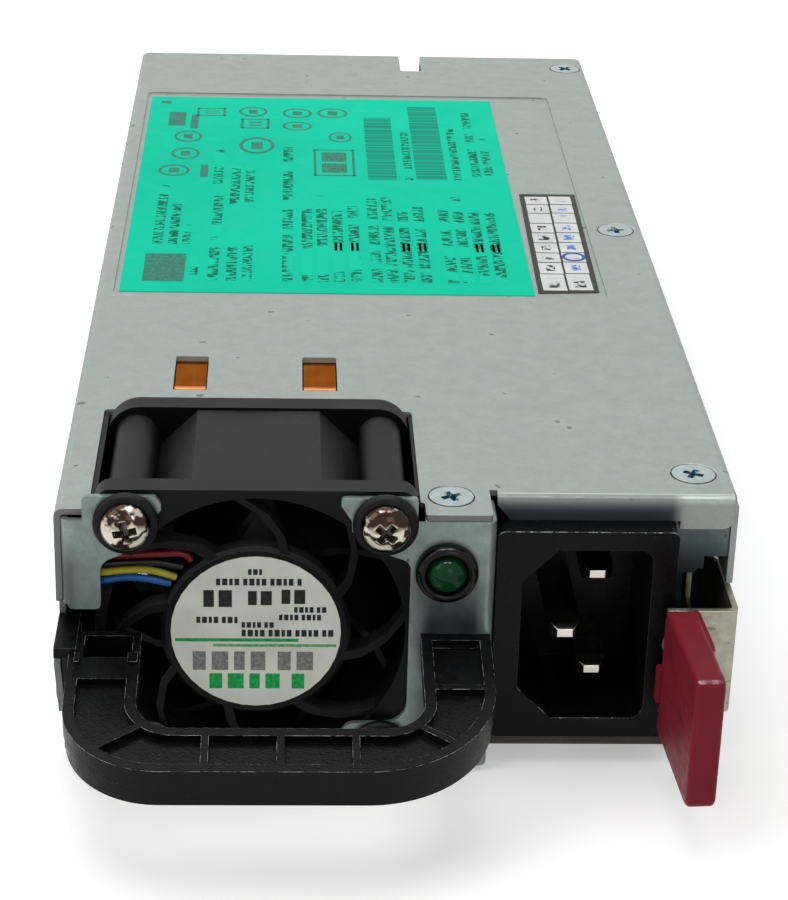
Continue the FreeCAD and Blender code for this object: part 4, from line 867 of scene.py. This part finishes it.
class SUPPLY_OT_stage(Maker, bpy.types.Operator):
    """Camera, pale floor, even light, three soft lamps and two small ones for glints"""

    bl_idname = "supply.stage"
    bl_label = "Stage"

    def make(self, colours, sizes, stage):
        self.camera(stage)
        self.floor(stage)
        self.lamps(stage)
        self.air(stage)
        bpy.context.scene.view_settings.view_transform = "Standard"

    def camera(self, stage):
        yaw, pitch, roll = stage.turn
        bpy.ops.object.camera_add(location=stage.place)
        camera = bpy.context.object
        aim = (Matrix.Rotation(-yaw, 3, "Z") @ Matrix.Rotation(math.pi / 2 - pitch, 3, "X")
               @ Matrix.Rotation(-roll, 3, "Z"))
        camera.rotation_mode = "QUATERNION"
        camera.rotation_quaternion = aim.to_quaternion()
        camera.data.lens = stage.lens
        camera.data.sensor_width = 36.0
        camera.data.clip_start, camera.data.clip_end = 0.01, 50.0
        bpy.context.scene.camera = camera

    def floor(self, stage):
        gap = 0.05 * MM
        bpy.ops.mesh.primitive_plane_add(size=stage.floor, location=(0, 0, -gap))
        floor = bpy.context.object
        floor.name = "floor"
        g = Finish("pale floor", (0.80, 0.80, 0.80), 0.9, specular=0.1)
        g.set("Emission Color", (1.0, 1.0, 1.0))
        glow_share = 0.36
        g.set("Emission Strength", g.product(g.seen(), stage.backdrop * glow_share))
        floor.data.materials.append(g.material)

    def lamps(self, stage):
        """Three soft lamps, and two small ones overhead that only polished edges mirror."""
        self.lamp(stage.key, (-0.15, 0.15, 1.25), 1.1)
        self.lamp(stage.side, (-0.9, -0.35, 0.75), 0.7)
        self.lamp(stage.front, (0.35, -1.3, 0.65), 0.6)
        for across in (-0.22, 0.22):
            self.lamp(stage.glint, (across, -0.30, 1.2), 0.28).visible_diffuse = False

    def lamp(self, power, place, size):
        bpy.ops.object.light_add(type="AREA", location=place)
        lamp = bpy.context.object
        lamp.data.energy = power
        lamp.data.size = size
        lamp.rotation_mode = "QUATERNION"
        lamp.rotation_quaternion = (-Vector(place)).to_track_quat("-Z", "Y")
        return lamp

    def air(self, stage):
        world = bpy.data.worlds.new("studio air")
        world.use_nodes = True
        bpy.context.scene.world = world
        g = Graph(world.node_tree)
        back = g.tree.nodes["Background"].inputs
        g.feed(back["Color"], (1, 1, 1))
        g.feed(back["Strength"], g.ramp(g.seen(), 0.0, 1.0, stage.air, stage.backdrop))


class SUPPLY_OT_sheet_metal(Maker, bpy.types.Operator):
    """Cover, tray, rear panel and the two front brackets"""

    bl_idname = "supply.sheet_metal"
    bl_label = "Sheet metal"

    def make(self, colours, sizes, stage):
        for node in ("top_cover", "rear_panel"):
            dress(node, "zinc", sizes.sheet_edge)
        for node in ("chassis_tray", "fan_bracket", "ear_bracket"):
            dress(node, "front", sizes.sheet_edge)


class SUPPLY_OT_fan(Maker, bpy.types.Operator):
    """Fan frame, rotor, motor parts and the label on the hub"""

    bl_idname = "supply.fan"
    bl_label = "Fan"

    def make(self, colours, sizes, stage):
        dress("fan_frame", "fan", sizes.mould_edge, edge="fan_edge")
        dress("fan_rotor", "rotor", sizes.mould_edge, body="rotor")
        coat("rotor", "fan_liners")
        coat("ferrite", "rotor_magnet")
        coat("laminations", "stator_core")
        coat("copper_wire", "stator_windings")
        coat("paper", "fan_label")
        self.print_hub(sizes)

    def print_hub(self, sizes):
        """Two green lines, rows of plain dashes and a few plain blocks."""
        root = span("fan_label")[0].y + INK_ROOT
        face = root - INK_ROOT - sizes.ink_lift
        centre = middle("fan_label")

        def bars(marks, name, look):
            pieces = []
            for left, right, bottom, top in marks:
                corner = (centre.x + left * MM, face, centre.z + bottom * MM)
                pieces.append(block(corner, (centre.x + right * MM, root, centre.z + top * MM)))
            settle(joined(pieces), name, look)

        bars([(-10.2, 5.4, -1.35, -0.9)], "hub-line", "green_ink")
        bars([(-5.4, 10.2, -2.1, -1.7)], "hub-pale-line", "pale_green_ink")
        bars(self.row(-5.9, 6.0, -8.2, 2.2, 1.7), "hub-green-marks", "green_ink")
        bars(self.row(-8.0, 8.0, -5.5, 2.7, 1.75), "hub-grey-marks", "grey_ink")
        rows = [(-1.8, 10.0, -0.60, 0.95), (-1.8, 2.4, 0.65, 0.8), (-7.5, -2.2, 1.3, 0.9),
                (2.9, 8.0, 1.75, 0.8), (4.8, 9.2, 2.85, 0.8), (-5.0, 5.6, 6.7, 0.95), (-6.6, -2.0, 3.6, 2.4),
                (-1.0, 1.4, 3.9, 2.0), (3.2, 6.6, 4.1, 2.0), (-1.0, 1.1, 8.2, 0.8)]
        marks = [mark for left, right, bottom, height in rows
                 for mark in self.row(left, right, bottom, height, height * 0.58)]
        bars(marks, "hub-marks", "black_ink")

    def row(self, left, right, bottom, height, width):
        """Plain dashes of uneven width from left to right, in mm."""
        marks = []
        place = left
        while place < right - width * 0.6:
            step = len(marks) % 4
            wide = width * (0.95, 1.2, 0.78, 1.07)[step]
            marks.append((place, place + wide, bottom, bottom + height))
            place += wide + width * (0.42, 0.42, 0.42, 0.9)[step]
        return marks


class SUPPLY_OT_leads(Maker, bpy.types.Operator):
    """Four coloured leads of the fan and the plug on the board"""

    bl_idname = "supply.leads"
    bl_label = "Fan leads"

    # for each lead, in mm: x and z of its points in front of the fan, z at the frame's side,
    # x and z behind the frame, and x and z over the plug
    ROUTES = {
        "red": ([(-26.1, 29.45), (-26.9, 30.25), (-30.0, 30.35), (-34.0, 30.15), (-38.0, 30.1)],
                29.5, (-39.0, 22.0), (-30.0, 16.0)),
        "black": ([(-27.15, 28.5), (-30.5, 29.15), (-34.0, 29.1), (-38.0, 28.9)],
                  28.25, (-39.1, 20.6), (-32.0, 16.0)),
        "yellow": ([(-28.0, 27.05), (-31.0, 27.95), (-34.0, 28.05), (-38.0, 27.7)],
                   27.0, (-39.1, 19.2), (-34.0, 16.0)),
        "blue": ([(-28.7, 26.15), (-32.0, 26.85), (-34.0, 27.0), (-38.0, 26.5)],
                 25.75, (-39.1, 17.8), (-36.0, 15.0)),
    }

    def make(self, colours, sizes, stage):
        for tint, places in self.ROUTES.items():
            lead = round_lead(self.route(*places), sizes.lead / 2)
            settle(lead, "fan-lead-" + tint, tint, smooth=60)
            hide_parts("fan_lead_" + tint)
        coat("connector", "lead_connector")
        coat("black", "lamp_leads", "inlet_wires")

    def route(self, front, side, behind, plug):
        """A lead's points in mm, from the motor's seat out over the frame's rim and down to the plug."""
        rim = front[-1][1]
        points = [(x, -100.8, z) for x, z in front]
        points += [(-39.4, -99.8, rim - 0.2), (-39.5, -92.0, rim - 0.3), (-39.5, -78.0, side),
                   (behind[0], -62.0, behind[1]), (plug[0], -56.6, plug[1]), (plug[0] + 0.5, -56.3, 11.8)]
        return points


class SUPPLY_OT_fan_screws(Maker, bpy.types.Operator):
    """Bright pan-head screws with cross recesses, and their rubber washers"""

    bl_idname = "supply.fan_screws"
    bl_label = "Fan screws"

    HOLE_REACH = 16.0 * MM
    HEAD_HEIGHT = 2.0 * MM
    FORWARD = (0, -1, 0)
    # radius and height over the sheet metal of each corner of a screw's outline, in mm
    SCREW = [(0, 1.98), (0.9, 1.93), (1.8, 1.72), (2.5, 1.34), (2.95, 0.82), (3.15, 0.3), (3.15, 0.0),
             (1.7, -0.02), (1.7, -9.0), (1.2, -9.6), (0, -9.6)]

    def make(self, colours, sizes, stage):
        seat = span("fan_screws")[0].y + self.HEAD_HEIGHT
        heads, washers, places = [], [], []
        for side, level, turn in ((-1, 1, 12), (1, 1, 50), (-1, -1, 30), (1, -1, 8)):
            place = Vector((FAN_MID.x + side * self.HOLE_REACH, seat, FAN_MID.z + level * self.HOLE_REACH))
            washers.append(self.washer(place, 4.1 if level > 0 else 3.8))
            head = turned_piece(self.SCREW, place, self.FORWARD)
            top = place + Vector(self.FORWARD) * self.HEAD_HEIGHT
            drive_recess(head, top, self.FORWARD, width=sizes.recess, depth=1.5 * MM, arm=1.5 * MM, turn=turn)
            heads.append(head)
            places.append(place)
        rubbers = settle(joined(washers), "fan-washers", "rubber", smooth=50)
        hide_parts("fan_washers")
        screws = joined(heads)
        apply_modifier(screws, "BEVEL", width=0.08 * MM, segments=2, limit_method="ANGLE",
                       angle_limit=math.radians(38))
        settle(screws, "fan-screws", "chrome", smooth=40)
        self.colour_crosses(screws, places)
        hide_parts("fan_screws")

    def washer(self, place, rim):
        """A rubber washer with its sleeve, rim wide in mm."""
        outline = [(1.82, -0.02), (rim - 0.9, -0.02), (rim - 0.3, -0.14), (rim - 0.02, -0.5), (rim, -0.95),
                   (rim - 0.1, -1.3), (2.19, -1.3), (2.19, -2.08), (1.82, -2.08), (1.82, -0.02)]
        return turned_piece(outline, place, self.FORWARD)

    def colour_crosses(self, screws, places):
        """Gives the faces that lie below the heads' domes the recesses' painted shade, dark brown with
        painted glints.
        """
        screws.data.materials.append(finish("cross"))
        crown, slope, depth, widest = 1.98 * MM, 90.0, 0.10 * MM, 2.6 * MM
        for face in screws.data.polygons:
            away = min((face.center - place for place in places), key=lambda gap: gap.xz.length)
            reach = away.xz.length
            sunk = -away.y < crown - slope * reach ** 2 - depth
            if reach < widest and away.y < 0 and sunk:
                face.material_index = 1


class SUPPLY_OT_cover_screws(Maker, bpy.types.Operator):
    """Countersunk screws of the cover with star-topped cross recesses, and the rivets"""

    bl_idname = "supply.cover_screws"
    bl_label = "Cover screws"

    # radius and height over the cover of each corner of a screw's outline, in mm
    SCREW = [(0, 0.0), (2.80, 0.0), (2.88, -0.16), (2.94, -0.02), (3.03, -0.10), (1.75, -0.78),
             (1.25, -0.80), (1.25, -4.5), (0.9, -4.6), (0, -4.6)]
    # radius and depth of each corner of the handle's rivet, in mm
    RIVET = [(0, 0.85), (2.1, 0.85), (2.4, 0.95), (2.4, 0.99), (1.5, 0.99), (1.5, 3.78), (1.9, 3.78),
             (1.9, 4.28), (0, 4.28)]
    UPWARD = (0, 0, 1)

    def make(self, colours, sizes, stage):
        tops = self.centres()
        heads = []
        for index, (x, y) in enumerate(tops):
            place = Vector((x, y, COVER_TOP - 0.02 * MM))
            head = turned_piece(self.SCREW, place, self.UPWARD)
            top = place + Vector((0, 0, 0.05 * MM))
            drive_recess(head, top, self.UPWARD, width=4.3 * MM, depth=1.2 * MM, arm=1.35 * MM,
                         turn=25 + 37 * index)
            heads.append(head)
        screws = settle(joined(heads), "cover-screws", "screw_head", smooth=40)
        head_radius, recess_depth = 2.80 * MM, 0.06 * MM
        for look in ("screw_recess", "screw_rim_painted_shade"):
            screws.data.materials.append(finish(look))
        for face in screws.data.polygons:
            reach = min((face.center.xy - Vector(top)).length for top in tops)
            # the heads' outer rims get the painted shade of the gap
            if reach > head_radius:
                face.material_index = 2
            elif face.center.z < COVER_TOP - recess_depth:
                face.material_index = 1
        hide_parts("cover_screws")
        coat("zinc_screw", "case_rivets", "spring_rivets", "lever_rivet", "board_screws")
        self.flush_rivet()

    def flush_rivet(self):
        """The handle's rivet, its head nearly flush with the wall's ear."""
        place = middle("handle_rivet")
        place.x = span("handle_rivet")[0].x
        rivet = turned_piece(self.RIVET, place, (1, 0, 0))
        settle(rivet, "handle-rivet", "dark_rivet", smooth=40)
        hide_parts("handle_rivet")

    def centres(self):
        """Centres of the four heads, read from the solids' own tops."""
        near_top, apart = 0.3 * MM, 7.5 * MM
        groups = []
        for vertex in NODES["cover_screws"].data.vertices:
            if vertex.co.z < COVER_TOP - near_top:
                continue
            for group in groups:
                if (vertex.co - group[0]).length < apart:
                    group.append(vertex.co.copy())
                    break
            else:
                groups.append([vertex.co.copy()])
        if len(groups) != 4:
            raise RuntimeError(f"expected four cover screws, found {len(groups)}")
        centres = []
        for group in groups:
            xs = [point.x for point in group]
            ys = [point.y for point in group]
            centres.append(((min(xs) + max(xs)) / 2, (min(ys) + max(ys)) / 2))
        return centres


class SUPPLY_OT_lamp(Maker, bpy.types.Operator):
    """Status lamp: glossy black bezel with a domed green lens"""

    bl_idname = "supply.lamp"
    bl_label = "Status lamp"

    # radius and height over the front end of each corner of the outlines, in mm
    BEZEL = [(2.56, -6.1), (2.56, -0.55), (2.72, -0.2), (3.0, -0.03), (3.3, -0.02), (3.65, -0.22),
             (3.9, -0.62), (3.99, -1.1), (3.99, -1.69), (3.12, -1.70), (3.12, -6.1), (2.56, -6.1)]
    LENS = [(0, 0.0), (0.6, -0.06), (1.2, -0.27), (1.7, -0.58), (2.1, -1.0), (2.38, -1.5), (2.5, -2.1),
            (2.5, -7.3), (3.0, -7.3), (3.0, -8.3), (0, -8.3)]

    def make(self, colours, sizes, stage):
        place = middle("lamp_ring")
        for node, outline, name, look, slot in (
                ("lamp_ring", self.BEZEL, "lamp-bezel", "gloss", "black_gloss"),
                ("lamp_lens", self.LENS, "lamp-lens", "lamp", "lamp_green")):
            place.y = span(node)[0].y
            piece = turned_piece(outline, place, (0, -1, 0), 64)
            settle(piece, name, look, smooth=50)
            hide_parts(node)


class SUPPLY_OT_inlet(Maker, bpy.types.Operator):
    """Mains inlet moulding and its three blades"""

    bl_idname = "supply.inlet"
    bl_label = "Mains inlet"

    def make(self, colours, sizes, stage):
        dress("inlet_housing", "inlet", sizes.mould_edge, edge="inlet_edge")
        dress("inlet_blades", "contact", 0.0001)


class SUPPLY_OT_handle(Maker, bpy.types.Operator):
    """Ribbed pull handle"""

    bl_idname = "supply.handle"
    bl_label = "Handle"

    def make(self, colours, sizes, stage):
        dress("handle", "moulding", sizes.handle_edge, edge="moulding_edge")


class SUPPLY_OT_latch(Maker, bpy.types.Operator):
    """Release lever and its leaf spring"""

    bl_idname = "supply.latch"
    bl_label = "Release latch"

    def make(self, colours, sizes, stage):
        self.lever(sizes)
        dress("latch_spring", "nickel", sizes.sheet_edge, body="latch")
        dress("spring_foot", "nickel", sizes.sheet_edge)

    def lever(self, sizes):
        """A slab with soft edges, turned a little outward, with its pad and clasp."""
        low, high = span("release_lever")
        yaw, thick, root = math.radians(3.6), 3.75 * MM, 33.45 * MM
        top, under = 25.25 * MM, 7.0 * MM
        nose, heel = low.y + 1 * MM, high.y - 1 * MM
        slab = block((root, low.y + 0.12 * MM, under), (root + thick, high.y, top))
        self.round_edges(slab, 1.5 * MM, 4, lambda run, place: abs(run.x) > 0.9 and place.y < nose)
        self.round_edges(slab, 2.2 * MM, 4,
                         lambda run, place: abs(run.x) > 0.9 and place.y > heel and place.z > 20 * MM)
        self.round_edges(slab, sizes.lever_edge, 4, lambda run, place: True)
        for extra in (self.pad(root, thick, low, high), self.clasp(root, high)):
            combine(slab, extra, "UNION")
        edit_all(slab)
        bpy.ops.transform.rotate(value=-yaw, orient_axis="Z", center_override=(root, high.y, 0))
        bpy.ops.object.mode_set(mode="OBJECT")
        behind = block((20 * MM, high.y, 0), (60 * MM, high.y + 5 * MM, 40 * MM))
        combine(slab, behind, "DIFFERENCE")
        settle(slab, "release-lever", "lever", "latch", 40)
        apply_modifier(slab, "WEIGHTED_NORMAL", keep_sharp=True)
        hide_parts("release_lever")

    def pad(self, root, thick, low, high):
        """The thin rounded pad on the lever's outer face."""
        outline = [(0, 0.0), (9.0, 0.0), (9.4, 0.12), (9.4, 0.75), (0, 0.75)]
        place = (root + thick + 0.44 * MM, high.y - 5.7 * MM, 16.8 * MM)
        pad = turned_piece(outline, place, (-1, 0, 0), 64)
        fix_place(pad)
        keep = block((root, low.y + 3.1 * MM, 9.0 * MM), (root + 9 * MM, high.y + 1 * MM, 24.8 * MM))
        combine(pad, keep, "INTERSECT")
        return pad

    def clasp(self, root, high):
        """The small block that holds the lever's rear end on the spring."""
        clasp = block((root - 0.6 * MM, high.y - 1.6 * MM, 11.8 * MM), (root + 0.5 * MM, high.y, 16.8 * MM))
        self.round_edges(clasp, 0.15 * MM, 2, lambda run, place: True)
        return clasp

    def round_edges(self, piece, radius, segments, wanted):
        """Rounds the sharp edges for which wanted(direction, middle) is true."""
        blunt = 0.7
        faces_on = {}
        for face in piece.data.polygons:
            for key in face.edge_keys:
                faces_on.setdefault(key, []).append(face.normal.copy())

        def chosen(edge):
            first, second = (piece.data.vertices[index].co for index in edge.vertices)
            sides = faces_on[edge.key]
            sharp = len(sides) == 2 and sides[0].dot(sides[1]) < blunt
            return sharp and wanted((second - first).normalized(), (first + second) / 2)

        select_where(piece, "EDGE", chosen)
        bpy.ops.mesh.bevel(offset=radius, segments=segments, affect="EDGES")
        bpy.ops.object.mode_set(mode="OBJECT")


class SUPPLY_OT_clips(Maker, bpy.types.Operator):
    """Copper alloy clips in the cover's two slots"""

    bl_idname = "supply.clips"
    bl_label = "Bridge clips"

    def make(self, colours, sizes, stage):
        dress("bridge_clips", "copper", 0.00006)


class SUPPLY_OT_labels(Maker, bpy.types.Operator):
    """Rating label and date label with plain printing"""

    bl_idname = "supply.labels"
    bl_label = "Labels"

    # x, first y, last y and height of each printed row, in mm from the middle of the case
    ROWS = [(-34.9, -8.5, 19.6, 1.6), (-32.5, -8.5, 10.2, 1.5), (-30.4, -8.4, 0.4, 1.3),
            (-28.7, -24.0, -14.0, 1.2), (-25.8, -24.0, 14.4, 1.6), (-23.0, -24.0, -1.6, 1.6),
            (-20.6, -24.0, -5.2, 1.5), (-26.2, 20.8, 38.6, 1.6), (-23.2, 9.8, 30.0, 1.6),
            (-20.8, 9.8, 29.3, 1.5), (-14.4, -24.0, 40.8, 1.7), (6.2, 23.7, 49.9, 1.4),
            (14.5, 24.0, 52.0, 1.4), (17.8, 25.8, 61.7, 1.5), (20.0, 26.8, 46.8, 1.5)]
    # x, y and the two half widths of each plain ring
    RINGS = [(-33.8, 27.4, 2.7, 3.0), (-32.2, 36.5, 2.5, 3.2), (-32.1, 46.0, 2.5, 3.2),
             (-19.9, 41.4, 3.1, 4.6), (-6.4, 60.6, 2.8, 3.0), (-5.2, 46.6, 2.1, 2.9),
             (-12.8, 60.3, 2.7, 2.9), (-12.8, 52.7, 2.7, 2.6), (-20.8, 60.9, 2.6, 3.0)]
    # x range and y range of each open frame
    FRAMES = [(-10.0, -2.9, 25.5, 39.6), (-31.0, -25.8, 58.0, 62.8), (-22.9, -17.8, 51.0, 56.6)]
    # x range and y range of each filled block
    BLOCKS = [(-36.4, -30.1, -24.5, -12.7), (-35.9, -32.9, 52.0, 60.0), (-31.9, -30.6, 50.5, 58.5),
              (-29.3, -28.0, 24.0, 30.5), (-37.7, -35.9, 65.2, 66.8)]
    BAR_CODES = [(-0.8, 4.1, 23.5, 58.2), (7.4, 12.6, 24.0, 65.0)]

    def make(self, colours, sizes, stage):
        coat("film", "rating_label")
        coat("date_edge", "date_label")
        self.lift = span("rating_label")[1].z
        self.top = self.lift + sizes.ink_lift
        rows, ticks = self.blocks_of_rows()
        rows = [(x - high / 2, x + high / 2, first, last) for x, first, last, high in self.ROWS + rows]
        for name, look, patches in (("rating-rows", "film_typed", rows),
                                    ("rating-bars", "film_bars", self.BAR_CODES)):
            settle(joined([self.flat(*patch) for patch in patches]), name, look)
        solid = [self.flat(*edges) for edges in self.BLOCKS + ticks]
        solid += [self.ring(*numbers) for numbers in self.RINGS]
        rung, rail, side, end = 0.5, 0.45, 1.4, 1.6
        for left, right, first, last in self.FRAMES:
            centre = (first + last) / 2
            solid += [self.flat(left, right, first, first + rung), self.flat(left, right, last - rung, last),
                      self.flat(left, left + rail, first, last), self.flat(right - rail, right, first, last),
                      self.flat(left + side, right - side, first + end, centre - rung),
                      self.flat(left + side, right - side, centre + rung, last - end)]
        settle(joined(solid), "rating-marks", "film_ink")
        self.date_cells(sizes)

    def blocks_of_rows(self):
        """Three groups of four rows, and the two ticks before each group's lower rows."""
        rows, ticks = [], []
        tick = 0.45
        for start in (-11.3, -0.6, 11.0):
            for step, end in ((0.0, 14.0), (2.4, 15.2), (4.9, 7.8), (7.5, 10.2)):
                x = start + step
                rows.append((x, -24.0, end, 1.7))
                if step > 4:
                    ticks += [(x + side, x + side + tick, -10.6, -7.0) for side in (-0.6, 0.2)]
        return rows, ticks

    def flat(self, left, right, first, last, top=None):
        """A thin printed patch, given in mm."""
        return block((left * MM, first * MM, self.lift - INK_ROOT), (right * MM, last * MM, top or self.top))

    def ring(self, x, y, half_x, half_y):
        """A thin printed ring with a dot in it, given in mm."""
        profile = [(0.80, 0.0), (1.0, 0.0), (1.0, 1.0), (0.80, 1.0), (0.80, 0.0)]
        piece = turned_piece(profile, (x * MM, y * MM, self.lift - INK_ROOT), (0, 0, 1), 32)
        piece.scale = (half_x, half_y, (self.top - self.lift + INK_ROOT) / MM)
        fix_place(piece)
        dot = self.flat(x - half_x * 0.32, x + half_x * 0.32, y - half_y * 0.4, y + half_y * 0.4)
        return joined([piece, dot])

    def date_cells(self, sizes):
        """Two columns of pale cells on a dark ground, each with a plain mark."""
        low = span("date_label")[0] / MM
        edges = [1.2, 8.3, 13.3, 17.5, 22.0, 26.6, 31.1, 35.9, 40.1, 44.2]
        slant, margin, pitch, width, gap = 0.7 / 45.0, 0.85, 4.0, 3.65, 0.35
        cells, marks, tinted = [], [], []
        for column in range(2):
            for row, (first, last) in enumerate(zip(edges, edges[1:])):
                left = low.x + margin + column * pitch + first * slant
                bottom = low.y + column * 0.25
                cells.append(self.flat(left, left + width, bottom + first, bottom + last - gap))
                inset = (0.9, 1.1)[row % 2]
                mark = self.flat(left + inset, left + 3.6 - inset, bottom + first + 1.1, bottom + last - 1.4,
                                 self.top + sizes.ink_lift)
                (tinted if column == 1 and row > 0 else marks).append(mark)
        outline = [(1.35, 0.0), (1.9, 0.0), (1.9, 0.03), (1.35, 0.03), (1.35, 0.0)]
        ring = turned_piece(outline, ((low.x + 6.9) * MM, (low.y + 15.6) * MM, self.top), (0, 0, 1), 32)
        settle(joined(cells), "date-cells", "cells")
        settle(joined(marks), "date-marks", "cell_typed")
        settle(joined(tinted), "date-blue-marks", "cell_blue")
        settle(ring, "date-ring", "blue_ink")


class SUPPLY_OT_board(Maker, bpy.types.Operator):
    """Circuit board, card edge and the blocks on the board"""

    bl_idname = "supply.board"
    bl_label = "Circuit board"

    LOOKS = {
        "board": ("main_board", "control_board"),
        "gold": ("edge_contacts",),
        "brass": ("standoffs",),
        "clear_sheet": ("insulator",),
        "can": ("bulk_capacitors", "output_capacitors"),
        "aluminium": ("primary_heat_sink", "secondary_heat_sink"),
        "epoxy": ("power_transistors",),
        "ferrite": ("transformer_core",),
        "tape": ("transformer_winding",),
        "copper_wire": ("choke_windings",),
        "relay": ("filter_box",),
    }

    def make(self, colours, sizes, stage):
        for look, nodes in self.LOOKS.items():
            coat(look, *nodes)


class SUPPLY_PT_panel(bpy.types.Panel):
    """Lists the supply's makers"""

    bl_idname = "SUPPLY_PT_panel"
    bl_label = "Server power supply"
    bl_space_type = "VIEW_3D"
    bl_region_type = "UI"
    bl_category = "Supply"

    def draw(self, context):
        for maker in MAKER_CLASSES:
            self.layout.operator(maker.bl_idname)
        for group in settings():
            column = self.layout.column()
            for name in group.__annotations__:
                column.prop(group, name)


GROUPS = (SupplyColours, SupplySizes, SupplyStage)
MAKER_CLASSES = (
    SUPPLY_OT_stage,
    SUPPLY_OT_sheet_metal,
    SUPPLY_OT_fan,
    SUPPLY_OT_leads,
    SUPPLY_OT_fan_screws,
    SUPPLY_OT_cover_screws,
    SUPPLY_OT_lamp,
    SUPPLY_OT_inlet,
    SUPPLY_OT_handle,
    SUPPLY_OT_latch,
    SUPPLY_OT_clips,
    SUPPLY_OT_labels,
    SUPPLY_OT_board,
)


def register():
    for entry in GROUPS + MAKER_CLASSES + (SUPPLY_PT_panel,):
        bpy.utils.register_class(entry)
    for name, group in zip(("supply_colours", "supply_sizes", "supply_stage"), GROUPS):
        setattr(bpy.types.Scene, name, bpy.props.PointerProperty(type=group))


def unregister():
    for name in ("supply_colours", "supply_sizes", "supply_stage"):
        delattr(bpy.types.Scene, name)
    for entry in reversed(GROUPS + MAKER_CLASSES + (SUPPLY_PT_panel,)):
        bpy.utils.unregister_class(entry)


def main():
    register()
    for maker in MAKER_CLASSES:
        area, name = maker.bl_idname.split(".")
        getattr(getattr(bpy.ops, area), name)()


if __name__ == "__main__":
    main()
